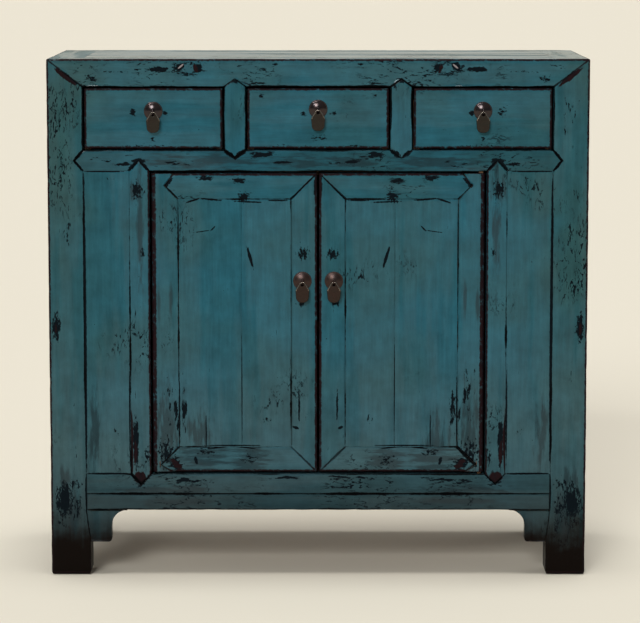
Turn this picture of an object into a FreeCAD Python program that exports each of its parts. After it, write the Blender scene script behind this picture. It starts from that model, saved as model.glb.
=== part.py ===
import FreeCAD
import Part
import math
import os

# A lacquered sideboard: a mitred post-and-rail carcase with floating panels,
# a row of drawers over a pair of pivot-hung doors, and drop pulls on split pins.
# The frame is +X to the right, +Y to the back and +Z up, in millimetres.
# The origin is on the floor, at the centre of the whole footprint, pulls included.

Vector = FreeCAD.Vector

# Overall sizes of the carcase
WIDTH = 960.0
DEPTH = 400.0
HEIGHT = 927.0
ARRIS_RADIUS = 3.0
OVERRUN = 5.0

# Posts and the front frame
POST = 64.0
FOOT_CHAMFER = 6.0
FOOT_FLARE = 7.0
TOP_RAIL_HEIGHT = 49.0
DRAWER_OPENING_HEIGHT = 112.0
MIDDLE_RAIL_HEIGHT = 38.0
BOTTOM_RAIL_HEIGHT = 37.0
BOTTOM_RAIL_TOP = 185.0
RAIL_DEPTH = 46.0
CENTRE_OPENING_WIDTH = 255.0
DIVIDER_WIDTH = 39.0
DIVIDER_DEPTH = 44.0
FIXED_PANEL_WIDTH = 80.0
JAMB_WIDTH = 37.0
JAMB_DEPTH = 40.0

# Joinery: pointed shoulders lie in a front layer, with the tenons behind them
POINT_LAYER = 12.0
RAIL_POINT = 16.0
DIVIDER_POINT = 14.0
JAMB_POINT = 19.0
TENON_INSET = 20.0
TENON_THICKNESS = 12.0
TENON_LENGTH = 36.0
TENON_SHOULDER = 7.0
TENON_WALL = 8.0
POST_TENON_LENGTH = 18.0
FIT = 0.2
TOP_TENON_WIDTH = 16.0
TOP_TENON_MARGIN = 12.0
TOP_TENON_COVER = 16.0

# Panels: flush ones have a front layer and a thinner tongue behind it
FLUSH_LAYER = 8.0
PANEL_THICKNESS = 14.0
TONGUE = 8.0
GROOVE_PLAY = 0.8
PANEL_SEAM = 0.6
SIDE_PANEL_THICKNESS = 12.0
SIDE_PANEL_SETBACK = 4.0
SIDE_RAIL_THICKNESS = 40.0
BACK_THICKNESS = 10.0
BACK_INSET = 8.0
BACK_BOARD_COUNT = 4
FLOOR_THICKNESS = 14.0
FLOOR_DROP = 3.0
BATTEN_WIDTH = 40.0
BATTEN_HEIGHT = 24.0
BATTEN_STUB = 12.0

# Apron and its curved brackets
APRON_HEIGHT = 30.0
APRON_THICKNESS = 20.0
APRON_SETBACK = 2.0
APRON_STUB = 8.0
APRON_STUB_THICKNESS = 10.0
BRACKET_DROP = 58.0
BRACKET_WIDTH = 45.0
BRACKET_SWEEP = 28.0
BRACKET_CORNER = 6.0
BRACKET_STUB_HEIGHT = 30.0

# Shelf and its cleats
SHELF_TOP = 450.0
SHELF_THICKNESS = 16.0
SHELF_SETBACK = 75.0
SHELF_PLAY = 1.0
CLEAT_WIDTH = 20.0
CLEAT_HEIGHT = 24.0
CLEAT_MARGIN = 22.0

# Doors, which turn on dowels at the ends of their hinge stiles
DOOR_THICKNESS = 24.0
DOOR_GAP = 3.0
DOOR_STILE = 48.0
DOOR_RAIL = 47.0
DOOR_POINT = 25.0
DOOR_POINT_RETURN = 8.0
DOOR_POINT_LAYER = 8.0
DOOR_TENON_THICKNESS = 7.0
DOOR_TENON_SHOULDER = 11.0
DOOR_TENON_HEIGHT = 20.0
DOOR_TENON_LENGTH = 26.0
DOOR_ARRIS = 3.5
HINGE_ARRIS = 7.0
PIVOT_RADIUS = 5.5
PIVOT_INSET = 7.5
PIVOT_LENGTH = 14.0
PIVOT_CLEARANCE = 0.2
PIVOT_SEAT = 0.3
STOP_LENGTH = 180.0
STOP_DROP = 9.0
STOP_THICKNESS = 10.0
STOP_CLEARANCE = 0.5

# Drawers and their runners
DRAWER_GAP = 2.5
DRAWER_FRONT_THICKNESS = 20.0
DRAWER_ARRIS = 3.0
DRAWER_BACK_CLEARANCE = 37.0
DRAWER_SIDE_THICKNESS = 11.0
DRAWER_SIDE_HEIGHT = 88.0
DRAWER_LAP = 10.0
DRAWER_DADO = 4.0
DRAWER_BACK_SETBACK = 10.0
DRAWER_BOTTOM_THICKNESS = 7.0
DRAWER_BOTTOM_RISE = 7.0
RUN_CLEARANCE = 0.3
RUNNER_HEIGHT = 22.0
RUNNER_LEDGE = 26.0
GUIDE_HEIGHT = 36.0
GUIDE_WIDTH = 22.0
RUNNER_STUB = 10.0
RUNNER_STUB_MARGIN = 5.0

# Pulls: a domed plate, a split pin with an eye, and a flat drop on the eye
PLATE_RADIUS = 16.5
PLATE_DOME = 5.0
PLATE_THICKNESS = 1.2
EYE_RADIUS = 4.5
WIRE_RADIUS = 1.1
SHANK_RADIUS = 1.8
SHANK_CLEARANCE = 0.2
LEG_LENGTH = 15.0
LEG_WIDTH = 3.2
LEG_THICKNESS = 1.6
DROP_THICKNESS = 2.4
DROP_HOLE_PLAY = 1.5
DROP_RIM = 2.0
DROP_SHOULDER_WIDTH = 25.0
DROP_SHOULDER_FALL = 15.5
DROP_FOOT_WIDTH = 21.0
DROP_FOOT_FALL = 31.0
DROP_LENGTH = 38.0
DRAWER_PULL_RISE = 13.0
CENTRE_PULL_LIFT = 3.5
DOOR_PULL_FALL = 192.0
DOOR_PULL_SHIFT = 2.5

# Places worked out from the sizes above
EYE_OFFSET = PLATE_DOME + EYE_RADIUS + WIRE_RADIUS
PULL_REACH = EYE_OFFSET + EYE_RADIUS + WIRE_RADIUS
DROP_HOLE_FALL = EYE_RADIUS + DROP_HOLE_PLAY - FIT
DRAWER_LENGTH = DEPTH - BACK_INSET - BACK_THICKNESS - DRAWER_BACK_CLEARANCE
LEFT = -WIDTH / 2
FRONT = (PULL_REACH - DEPTH) / 2
BACK = FRONT + DEPTH
MIDDLE_Y = (FRONT + BACK) / 2
POST_INNER = WIDTH / 2 - POST
TOP_RAIL_BOTTOM = HEIGHT - TOP_RAIL_HEIGHT
MIDDLE_RAIL_TOP = TOP_RAIL_BOTTOM - DRAWER_OPENING_HEIGHT
MIDDLE_RAIL_BOTTOM = MIDDLE_RAIL_TOP - MIDDLE_RAIL_HEIGHT
BOTTOM_RAIL_BOTTOM = BOTTOM_RAIL_TOP - BOTTOM_RAIL_HEIGHT
APRON_BOTTOM = BOTTOM_RAIL_BOTTOM - APRON_HEIGHT
APRON_MIDDLE_Y = FRONT + APRON_SETBACK + APRON_THICKNESS / 2
BRACKET_FOOT = APRON_BOTTOM - BRACKET_DROP
FLARE_INNER = POST_INNER - FOOT_FLARE
JAMB_OUTER = POST_INNER - FIXED_PANEL_WIDTH
JAMB_INNER = JAMB_OUTER - JAMB_WIDTH
DIVIDER_INNER = CENTRE_OPENING_WIDTH / 2
DIVIDER_OUTER = DIVIDER_INNER + DIVIDER_WIDTH
DIVIDER_X = (DIVIDER_INNER + DIVIDER_OUTER) / 2
DOOR_LEFT = -JAMB_INNER + DOOR_GAP
DOOR_RIGHT = -DOOR_GAP / 2
DOOR_BOTTOM = BOTTOM_RAIL_TOP + DOOR_GAP
DOOR_TOP = MIDDLE_RAIL_BOTTOM - DOOR_GAP
DOOR_MIDDLE_Z = (DOOR_BOTTOM + DOOR_TOP) / 2
DOOR_PULL_HEIGHT = DOOR_TOP - DOOR_PULL_FALL
PIVOT_X = DOOR_LEFT + PIVOT_INSET
PIVOT_Y = FRONT + PIVOT_INSET
RUNNER_FRONT = FRONT + RAIL_DEPTH
RUNNER_BACK = BACK - RAIL_DEPTH
TENON_Y = (FRONT + TENON_INSET, FRONT + TENON_INSET + TENON_THICKNESS)


# Shape helpers

def slab(x, y, z):
    """A box from three (low, high) pairs."""
    low = Vector(x[0], y[0], z[0])
    return Part.makeBox(x[1] - x[0], y[1] - y[0], z[1] - z[0], low)


def wider(pair, by):
    """A (low, high) pair moved out by the same amount at both ends."""
    return (pair[0] - by, pair[1] + by)


def narrower(pair, by):
    """A (low, high) pair moved in by the same amount at both ends."""
    return wider(pair, -by)


def prism(points, travel):
    """The solid that a flat polygon sweeps along a vector."""
    return Part.Face(Part.makePolygon(points + points[:1])).extrude(travel)


def prism_xz(points, y):
    """A polygon given as (x, z) points, between two depths."""
    return prism([Vector(px, y[0], pz) for px, pz in points], Vector(0, y[1] - y[0], 0))


def prism_yz(points, x):
    """A polygon given as (y, z) points, between two widths."""
    return prism([Vector(x[0], py, pz) for py, pz in points], Vector(x[1] - x[0], 0, 0))


def prism_xy(points, z):
    """A polygon given as (x, y) points, between two heights."""
    return prism([Vector(px, py, z[0]) for px, py in points], Vector(0, 0, z[1] - z[0]))


def corner_triangle(start, end, corner):
    """A triangle over start, end and corner, grown so that a cut runs past the stock."""
    (ax, ay), (bx, by), (cx, cy) = start, end, corner
    run = math.hypot(bx - ax, by - ay)
    ex, ey = (bx - ax) / run * OVERRUN, (by - ay) / run * OVERRUN
    mx, my = (ax + bx) / 2, (ay + by) / 2
    return [
        (ax - ex, ay - ey),
        (bx + ex, by + ey),
        (bx + ex + cx - mx, by + ey + cy - my),
        (ax - ex + cx - mx, ay - ey + cy - my),
    ]


def cylinder(radius, base, direction, length):
    """A round bar from a base point along a direction."""
    return Part.makeCylinder(radius, length, base, direction)


def less(shape, *cutters):
    """A shape with each cutter taken out of it."""
    for cutter in cutters:
        shape = shape.cut(cutter)
    return shape


def joined(shape, *others):
    """One solid out of several that touch."""
    for other in others:
        shape = shape.fuse(other)
    return shape.removeSplitter()


def flipped_x(shape):
    """The mirror image on the other side of the centre line."""
    return shape.mirror(Vector(0, 0, 0), Vector(1, 0, 0))


def flipped_y(shape):
    """The mirror image at the other end of the carcase, front to back."""
    return shape.mirror(Vector(0, MIDDLE_Y, 0), Vector(0, 1, 0))


def pair(shape):
    """A piece and its mirror image on the other side, as two solids."""
    return Part.makeCompound([shape, flipped_x(shape)])


def edges_where(shape, test):
    """The edges whose ends and middle all pass a test on a point."""
    found = []
    for edge in shape.Edges:
        middle = edge.valueAt((edge.FirstParameter + edge.LastParameter) / 2)
        if all(test(p) for p in [middle] + [v.Point for v in edge.Vertexes]):
            found.append(edge)
    return found


def near(a, b):
    """True for two lengths that are the same but for rounding."""
    return math.isclose(a, b, abs_tol=FIT / 2)


# Frames that other pieces are cut to

def carcase_envelope():
    """The carcase's outer box with its upright and top edges rounded."""
    block = slab((LEFT, -LEFT), (FRONT, BACK), (0, HEIGHT))
    upright = edges_where(block, lambda p: near(abs(p.x), -LEFT) and near(abs(p.y - MIDDLE_Y), DEPTH / 2))
    top = edges_where(block, lambda p: near(p.z, HEIGHT))
    return block.makeFillet(ARRIS_RADIUS, upright + top)


def flush_panel(x, z):
    """A panel flush with the front face, with a tongue all round behind it."""
    face = slab(narrower(x, PANEL_SEAM), (FRONT, FRONT + FLUSH_LAYER), narrower(z, PANEL_SEAM))
    tongue = slab(wider(x, TONGUE), (FRONT + FLUSH_LAYER, FRONT + PANEL_THICKNESS), wider(z, TONGUE))
    return joined(face, tongue)


def flush_groove(x, z):
    """The groove that a flush panel's tongue sits in, with room to shrink and swell."""
    reach = TONGUE + GROOVE_PLAY
    depth = wider((FRONT + FLUSH_LAYER, FRONT + PANEL_THICKNESS), FIT)
    return slab(wider(x, reach), depth, wider(z, reach))


FIXED_PANEL_X = (-POST_INNER, -JAMB_OUTER)
FIXED_PANEL_Z = (BOTTOM_RAIL_TOP, MIDDLE_RAIL_BOTTOM)
TOP_PANEL_X = (-POST_INNER, POST_INNER)
TOP_PANEL_Y = (FRONT + POST, BACK - POST)


def fixed_panel_grooves():
    """The grooves of both fixed front panels."""
    return pair(flush_groove(FIXED_PANEL_X, FIXED_PANEL_Z))


def top_panel_groove():
    """The groove round the inside of the top frame."""
    reach = TONGUE + GROOVE_PLAY
    height = wider((HEIGHT - PANEL_THICKNESS, HEIGHT - FLUSH_LAYER), FIT)
    return slab(wider(TOP_PANEL_X, reach), wider(TOP_PANEL_Y, reach), height)


def side_panel_block(play):
    """The left side panel, or its groove where play is more than zero."""
    x = (LEFT + SIDE_PANEL_SETBACK, LEFT + SIDE_PANEL_SETBACK + SIDE_PANEL_THICKNESS)
    y = (FRONT + POST - TONGUE, BACK - POST + TONGUE)
    z = (BOTTOM_RAIL_TOP - TONGUE, TOP_RAIL_BOTTOM + TONGUE)
    sideways = FIT if play else play
    return slab(wider(x, sideways), wider(y, play), wider(z, play))


def back_bay(z, play):
    """One bay of the back between two rails, or its groove where play is more than zero."""
    x = wider((-POST_INNER, POST_INNER), TONGUE)
    y = (BACK - BACK_INSET - BACK_THICKNESS, BACK - BACK_INSET)
    sideways = FIT if play else play
    return slab(wider(x, play), wider(y, sideways), wider(wider(z, TONGUE), play))


BACK_BAYS = [(BOTTOM_RAIL_TOP, MIDDLE_RAIL_BOTTOM), (MIDDLE_RAIL_TOP, TOP_RAIL_BOTTOM)]


def back_grooves():
    """The grooves of both bays of the back."""
    return Part.makeCompound([back_bay(z, GROOVE_PLAY) for z in BACK_BAYS])


def floor_block(play):
    """The cupboard floor before its corners are notched, or its groove."""
    x = (LEFT + SIDE_RAIL_THICKNESS - TONGUE, -LEFT - SIDE_RAIL_THICKNESS + TONGUE)
    y = (FRONT + RAIL_DEPTH - TONGUE, BACK - RAIL_DEPTH + TONGUE)
    top = BOTTOM_RAIL_TOP - FLOOR_DROP
    sideways = FIT if play else play
    return slab(wider(x, play), wider(y, play), wider((top - FLOOR_THICKNESS, top), sideways))


# Joints: each one gives a tenon, or its mortise where play is more than zero

def rail_tenon(z, play):
    """The left tenon of a front rail, in the left front post."""
    x = (-POST_INNER - TENON_LENGTH, -POST_INNER)
    return slab(wider(x, play), wider(TENON_Y, play), wider(narrower(z, TENON_SHOULDER), play))


def side_rail_tenon(play):
    """The front tenon of the left bottom side rail, short of the front rail's tenon."""
    x = (LEFT + TENON_INSET, LEFT + TENON_INSET + TENON_THICKNESS)
    y = (TENON_Y[1] + TENON_WALL, FRONT + POST)
    z = narrower((BOTTOM_RAIL_BOTTOM, BOTTOM_RAIL_TOP), TENON_SHOULDER)
    return slab(wider(x, play), wider(y, play), wider(z, play))


def top_tenons(play):
    """The two tenons on the left front post's head, one for each top rail."""
    far = (POST - TOP_TENON_MARGIN - TOP_TENON_WIDTH, POST - TOP_TENON_MARGIN)
    close = (TOP_TENON_MARGIN, TOP_TENON_MARGIN + TENON_THICKNESS)
    z = (TOP_RAIL_BOTTOM, HEIGHT - TOP_TENON_COVER)
    found = []
    for across, along in ((far, close), (close, far)):
        x = (LEFT + across[0], LEFT + across[1])
        y = (FRONT + along[0], FRONT + along[1])
        found.append(slab(wider(x, play), wider(y, play), wider(z, play)))
    return found


def rail_point():
    """The pointed shoulder at the left end of the middle rail."""
    middle = (MIDDLE_RAIL_BOTTOM + MIDDLE_RAIL_TOP) / 2
    outline = [
        (-POST_INNER, MIDDLE_RAIL_BOTTOM),
        (-POST_INNER - RAIL_POINT, middle),
        (-POST_INNER, MIDDLE_RAIL_TOP),
    ]
    return prism_xz(outline, (FRONT, FRONT + POINT_LAYER))


def upright_point(x, base, tip):
    """A pointed shoulder at the end of an upright, from its base height to its tip."""
    outline = [(x[0], base), ((x[0] + x[1]) / 2, tip), (x[1], base)]
    return prism_xz(outline, (FRONT, FRONT + POINT_LAYER))


def upright_tenon(x, base, tip, play):
    """A tenon at the end of an upright, between two heights."""
    z = (min(base, tip), max(base, tip))
    return slab(wider(narrower(x, TENON_SHOULDER), play), wider(TENON_Y, play), wider(z, play))


DIVIDER_SPAN = (-DIVIDER_OUTER, -DIVIDER_INNER)
JAMB_SPAN = (-JAMB_OUTER, -JAMB_INNER)


def upright_ends(x, low, high, point):
    """The base and tip of both ends of an upright: (base, point tip, tenon tip)."""
    return [
        (x, low, low - point, low - POST_TENON_LENGTH),
        (x, high, high + point, high + POST_TENON_LENGTH),
    ]


DIVIDER_ENDS = upright_ends(DIVIDER_SPAN, MIDDLE_RAIL_TOP, TOP_RAIL_BOTTOM, DIVIDER_POINT)
JAMB_ENDS = upright_ends(JAMB_SPAN, BOTTOM_RAIL_TOP, MIDDLE_RAIL_BOTTOM, JAMB_POINT)


def end_cutters(ends):
    """The cuts that a rail needs for the ends of uprights, on both sides."""
    cutters = []
    for x, base, point_tip, tenon_tip in ends:
        cutters.append(pair(upright_point(x, base, point_tip)))
        cutters.append(pair(upright_tenon(x, base, tenon_tip, FIT)))
    return cutters


def pivot(clearance, seat):
    """Both dowels of the left door's hinge stile, or their sockets with clearance."""
    reach = DOOR_GAP + PIVOT_LENGTH + seat
    up = cylinder(PIVOT_RADIUS + clearance, Vector(PIVOT_X, PIVOT_Y, DOOR_TOP), Vector(0, 0, 1), reach)
    down = cylinder(PIVOT_RADIUS + clearance, Vector(PIVOT_X, PIVOT_Y, DOOR_BOTTOM), Vector(0, 0, -1), reach)
    return [up, down]


def pivot_sockets():
    """The sockets of both doors in the middle and bottom rails."""
    return [pair(hole) for hole in pivot(PIVOT_CLEARANCE, PIVOT_SEAT)]


RUNNER_XS = [
    (-POST_INNER, -POST_INNER + RUNNER_LEDGE),
    (-DIVIDER_OUTER - RUNNER_LEDGE, -DIVIDER_INNER + RUNNER_LEDGE),
]


def runner_stubs(play):
    """The stub tenons at both ends of the two left runners."""
    z = narrower((MIDDLE_RAIL_TOP - RUNNER_HEIGHT, MIDDLE_RAIL_TOP), RUNNER_STUB_MARGIN)
    found = []
    for x in RUNNER_XS:
        for y in ((RUNNER_FRONT - RUNNER_STUB, RUNNER_FRONT), (RUNNER_BACK, RUNNER_BACK + RUNNER_STUB)):
            across = wider(narrower(x, RUNNER_STUB_MARGIN), play)
            found.append(slab(across, wider(y, play), wider(z, play)))
    return found


def batten_stubs(play):
    """The stub tenons at both ends of the left top batten."""
    x = narrower((-DIVIDER_X - BATTEN_WIDTH / 2, -DIVIDER_X + BATTEN_WIDTH / 2), TENON_SHOULDER)
    top = HEIGHT - PANEL_THICKNESS - TENON_SHOULDER
    z = (HEIGHT - PANEL_THICKNESS - BATTEN_HEIGHT, top)
    front, back = TOP_PANEL_Y
    ends = [(front - BATTEN_STUB, front), (back, back + BATTEN_STUB)]
    return [slab(wider(x, play), wider(y, play), wider(z, play)) for y in ends]


def apron_stub(play):
    """The left end of the apron, housed in the post."""
    x = (-POST_INNER - APRON_STUB, -POST_INNER)
    y = (APRON_MIDDLE_Y - APRON_STUB_THICKNESS / 2, APRON_MIDDLE_Y + APRON_STUB_THICKNESS / 2)
    z = (APRON_BOTTOM, BOTTOM_RAIL_BOTTOM)
    return slab(wider(x, play), wider(y, play), wider(z, play))


def bracket_stub(play):
    """The tongue of the left bracket in the post."""
    x = (-POST_INNER - APRON_STUB, -FLARE_INNER)
    y = (APRON_MIDDLE_Y - APRON_STUB_THICKNESS / 2, APRON_MIDDLE_Y + APRON_STUB_THICKNESS / 2)
    z = (APRON_BOTTOM - BRACKET_STUB_HEIGHT, APRON_BOTTOM)
    return slab(wider(x, play), wider(y, play), wider(z, play))


# Posts

def foot_flare():
    """The swelling on the inner side of the left front foot, from the apron down."""
    outline = [
        (-POST_INNER, APRON_BOTTOM),
        (-FLARE_INNER, BRACKET_FOOT),
        (-FLARE_INNER, 0),
        (-POST_INNER, 0),
    ]
    return prism_xz(outline, (FRONT, FRONT + POST))


def post_blank(envelope):
    """The left front post with its three-way mitred head and side joints."""
    bar = joined(slab((LEFT, -POST_INNER), (FRONT, FRONT + POST), (0, HEIGHT)), foot_flare())
    bar = bar.makeChamfer(FOOT_CHAMFER, edges_where(bar, lambda p: near(p.z, 0)))
    head = [(LEFT, HEIGHT), (-POST_INNER, TOP_RAIL_BOTTOM), (-POST_INNER, HEIGHT)]
    side = [(FRONT, HEIGHT), (FRONT + POST, TOP_RAIL_BOTTOM), (FRONT + POST, HEIGHT)]
    bar = less(
        bar,
        prism_xz(corner_triangle(*head), wider((FRONT, FRONT + POST), OVERRUN)),
        prism_yz(corner_triangle(*side), wider((LEFT, -POST_INNER), OVERRUN)),
    )
    bar = joined(bar, *top_tenons(0))
    return less(bar.common(envelope), side_rail_tenon(FIT), side_panel_block(GROOVE_PLAY))


def front_post(blank):
    """The left front post, cut for the rails, fixed panel, apron and bracket."""
    return less(
        blank,
        rail_point(),
        rail_tenon((MIDDLE_RAIL_BOTTOM, MIDDLE_RAIL_TOP), FIT),
        rail_tenon((BOTTOM_RAIL_BOTTOM, BOTTOM_RAIL_TOP), FIT),
        flush_groove(FIXED_PANEL_X, FIXED_PANEL_Z),
        apron_stub(FIT),
        bracket_stub(FIT),
    )


def rear_post(blank):
    """The left rear post, cut for the rear rails and the back boards."""
    rails = [rail_tenon((MIDDLE_RAIL_BOTTOM, MIDDLE_RAIL_TOP), FIT)]
    rails.append(rail_tenon((BOTTOM_RAIL_BOTTOM, BOTTOM_RAIL_TOP), FIT))
    return less(flipped_y(blank), back_grooves(), *[flipped_y(cut) for cut in rails])


# Top frame

def top_long_rail(envelope):
    """The front rail of the top frame, mitred to the posts and the side rails."""
    bar = slab((LEFT, -LEFT), (FRONT, FRONT + POST), (TOP_RAIL_BOTTOM, HEIGHT))
    head = [(LEFT, HEIGHT), (-POST_INNER, TOP_RAIL_BOTTOM), (LEFT, TOP_RAIL_BOTTOM)]
    plan = [(LEFT, FRONT), (-POST_INNER, FRONT + POST), (LEFT, FRONT + POST)]
    for cut in (
        prism_xz(corner_triangle(*head), wider((FRONT, FRONT + POST), OVERRUN)),
        prism_xy(corner_triangle(*plan), wider((TOP_RAIL_BOTTOM, HEIGHT), OVERRUN)),
        *top_tenons(FIT),
    ):
        bar = less(bar, pair(cut))
    bar = bar.common(envelope)
    return less(bar, top_panel_groove(), *[pair(stub) for stub in batten_stubs(FIT)])


def top_front_rail(envelope):
    """The front top rail, cut for the heads of the drawer dividers."""
    return less(top_long_rail(envelope), *end_cutters(DIVIDER_ENDS))


def top_rear_rail(envelope):
    """The rear top rail, grooved for the back boards."""
    return less(flipped_y(top_long_rail(envelope)), back_grooves())


def top_side_rail(envelope):
    """The left rail of the top frame, grooved for the side panel and the top panel."""
    bar = slab((LEFT, -POST_INNER), (FRONT, BACK), (TOP_RAIL_BOTTOM, HEIGHT))
    head = [(FRONT, HEIGHT), (FRONT + POST, TOP_RAIL_BOTTOM), (FRONT, TOP_RAIL_BOTTOM)]
    plan = [(LEFT, FRONT), (-POST_INNER, FRONT + POST), (-POST_INNER, FRONT)]
    for cut in (
        prism_yz(corner_triangle(*head), wider((LEFT, -POST_INNER), OVERRUN)),
        prism_xy(corner_triangle(*plan), wider((TOP_RAIL_BOTTOM, HEIGHT), OVERRUN)),
        *top_tenons(FIT),
    ):
        bar = less(bar, cut, flipped_y(cut))
    return less(bar.common(envelope), top_panel_groove(), side_panel_block(GROOVE_PLAY))


def top_panel():
    """The top board, flush with its frame, with a tongue all round."""
    face = slab(
        narrower(TOP_PANEL_X, PANEL_SEAM),
        narrower(TOP_PANEL_Y, PANEL_SEAM),
        (HEIGHT - FLUSH_LAYER, HEIGHT),
    )
    height = (HEIGHT - PANEL_THICKNESS, HEIGHT - FLUSH_LAYER)
    return joined(face, slab(wider(TOP_PANEL_X, TONGUE), wider(TOP_PANEL_Y, TONGUE), height))


def top_batten():
    """The left batten under the top board, stub-tenoned to the long rails."""
    x = (-DIVIDER_X - BATTEN_WIDTH / 2, -DIVIDER_X + BATTEN_WIDTH / 2)
    z = (HEIGHT - PANEL_THICKNESS - BATTEN_HEIGHT, HEIGHT - PANEL_THICKNESS)
    return joined(slab(x, TOP_PANEL_Y, z), *batten_stubs(0))


# Front frame

def front_upright(x, depth, ends):
    """A drawer divider or door jamb with pointed shoulders and tenons at both ends."""
    bar = slab(x, (FRONT, FRONT + depth), (ends[0][1], ends[1][1]))
    for span, base, point_tip, tenon_tip in ends:
        bar = joined(bar, upright_point(span, base, point_tip), upright_tenon(span, base, tenon_tip, 0))
    return bar


def drawer_divider():
    """The left divider between two drawers."""
    return front_upright(DIVIDER_SPAN, DIVIDER_DEPTH, DIVIDER_ENDS)


def door_jamb():
    """The left jamb, between the fixed panel and the door."""
    bar = front_upright(JAMB_SPAN, JAMB_DEPTH, JAMB_ENDS)
    return less(bar, flush_groove(FIXED_PANEL_X, FIXED_PANEL_Z))


def front_rail(z):
    """A front rail with a tenon at each end."""
    bar = slab((-POST_INNER, POST_INNER), (FRONT, FRONT + RAIL_DEPTH), z)
    tenon = rail_tenon(z, 0)
    return joined(bar, tenon, flipped_x(tenon))


def middle_rail():
    """The rail between the drawers and the doors, with the lip that stops the doors."""
    bar = front_rail((MIDDLE_RAIL_BOTTOM, MIDDLE_RAIL_TOP))
    stop_front = FRONT + DOOR_THICKNESS + STOP_CLEARANCE
    lip = slab(
        (-STOP_LENGTH / 2, STOP_LENGTH / 2),
        (stop_front, stop_front + STOP_THICKNESS),
        (MIDDLE_RAIL_BOTTOM - STOP_DROP, MIDDLE_RAIL_BOTTOM),
    )
    bar = joined(bar, rail_point(), flipped_x(rail_point()), lip)
    bar = less(bar, fixed_panel_grooves(), *end_cutters(DIVIDER_ENDS), *end_cutters(JAMB_ENDS))
    return less(bar, *pivot_sockets(), *[pair(stub) for stub in runner_stubs(FIT)])


def bottom_rail():
    """The front rail under the doors."""
    bar = front_rail((BOTTOM_RAIL_BOTTOM, BOTTOM_RAIL_TOP))
    bar = less(bar, fixed_panel_grooves(), floor_block(GROOVE_PLAY))
    return less(bar, *end_cutters(JAMB_ENDS), *pivot_sockets())


def front_apron():
    """The straight apron under the bottom rail, housed in both posts."""
    y = (FRONT + APRON_SETBACK, FRONT + APRON_SETBACK + APRON_THICKNESS)
    bar = slab((-POST_INNER, POST_INNER), y, (APRON_BOTTOM, BOTTOM_RAIL_BOTTOM))
    return joined(bar, apron_stub(0), flipped_x(apron_stub(0)))


def apron_bracket():
    """The left bracket: fitted to the flare of the post and curved up to the apron."""
    y = FRONT + APRON_SETBACK
    inner = -POST_INNER + BRACKET_WIDTH
    half = math.sqrt(2) / 2

    def at(x, z):
        return Vector(x, y, z)

    sweep_x, sweep_z = inner + BRACKET_SWEEP, APRON_BOTTOM - BRACKET_SWEEP
    sweep_middle = at(sweep_x - BRACKET_SWEEP * half, sweep_z + BRACKET_SWEEP * half)
    turn_x, turn_z = inner - BRACKET_CORNER, BRACKET_FOOT + BRACKET_CORNER
    turn_middle = at(turn_x + BRACKET_CORNER * half, turn_z - BRACKET_CORNER * half)
    edges = [
        Part.LineSegment(at(-FLARE_INNER, BRACKET_FOOT), at(-POST_INNER, APRON_BOTTOM)),
        Part.LineSegment(at(-POST_INNER, APRON_BOTTOM), at(sweep_x, APRON_BOTTOM)),
        Part.Arc(at(sweep_x, APRON_BOTTOM), sweep_middle, at(inner, sweep_z)),
        Part.LineSegment(at(inner, sweep_z), at(inner, turn_z)),
        Part.Arc(at(inner, turn_z), turn_middle, at(turn_x, BRACKET_FOOT)),
        Part.LineSegment(at(turn_x, BRACKET_FOOT), at(-FLARE_INNER, BRACKET_FOOT)),
    ]
    outline = Part.Wire([edge.toShape() for edge in edges])
    plate = Part.Face(outline).extrude(Vector(0, APRON_THICKNESS, 0))
    return joined(plate, bracket_stub(0))


# Sides, back, floor and shelf

def side_bottom_rail():
    """The left bottom rail, between the front and rear posts."""
    x = (LEFT, LEFT + SIDE_RAIL_THICKNESS)
    bar = slab(x, (FRONT + POST, BACK - POST), (BOTTOM_RAIL_BOTTOM, BOTTOM_RAIL_TOP))
    bar = joined(bar, side_rail_tenon(0), flipped_y(side_rail_tenon(0)))
    return less(bar, side_panel_block(GROOVE_PLAY), floor_block(GROOVE_PLAY))


def rear_rails():
    """The two rails at the back: one carries the runners, the other the floor."""
    middle = flipped_y(front_rail((MIDDLE_RAIL_BOTTOM, MIDDLE_RAIL_TOP)))
    bottom = flipped_y(front_rail((BOTTOM_RAIL_BOTTOM, BOTTOM_RAIL_TOP)))
    middle = less(middle, back_grooves(), *[pair(stub) for stub in runner_stubs(FIT)])
    bottom = less(bottom, back_grooves(), floor_block(GROOVE_PLAY))
    return Part.makeCompound([middle, bottom])


def back_boards():
    """The upright boards of both bays of the back, with a seam between neighbours."""
    boards = []
    for z in BACK_BAYS:
        box = back_bay(z, 0).BoundBox
        pitch = box.XLength / BACK_BOARD_COUNT
        for i in range(BACK_BOARD_COUNT):
            low = box.XMin + i * pitch
            x = (low, low + pitch - PANEL_SEAM)
            boards.append(slab(x, (box.YMin, box.YMax), (box.ZMin, box.ZMax)))
    return Part.makeCompound(boards)


def cabinet_floor():
    """The floor of the cupboard, notched round the four posts."""
    corner = slab(
        wider((LEFT, -POST_INNER), FIT),
        wider((FRONT, FRONT + POST), FIT),
        (0, HEIGHT),
    )
    return less(floor_block(0), pair(corner), pair(flipped_y(corner)))


def shelf():
    """The loose shelf, which lies on the two cleats."""
    x = narrower((-POST_INNER, POST_INNER), SHELF_PLAY)
    y = (FRONT + SHELF_SETBACK, BACK - BACK_INSET - BACK_THICKNESS - SHELF_PLAY)
    return slab(x, y, (SHELF_TOP - SHELF_THICKNESS, SHELF_TOP))


def shelf_cleat():
    """The left cleat, fixed to the inner faces of the front and rear posts."""
    x = (-POST_INNER, -POST_INNER + CLEAT_WIDTH)
    top = SHELF_TOP - SHELF_THICKNESS
    return slab(x, narrower((FRONT, BACK), CLEAT_MARGIN), (top - CLEAT_HEIGHT, top))


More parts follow.
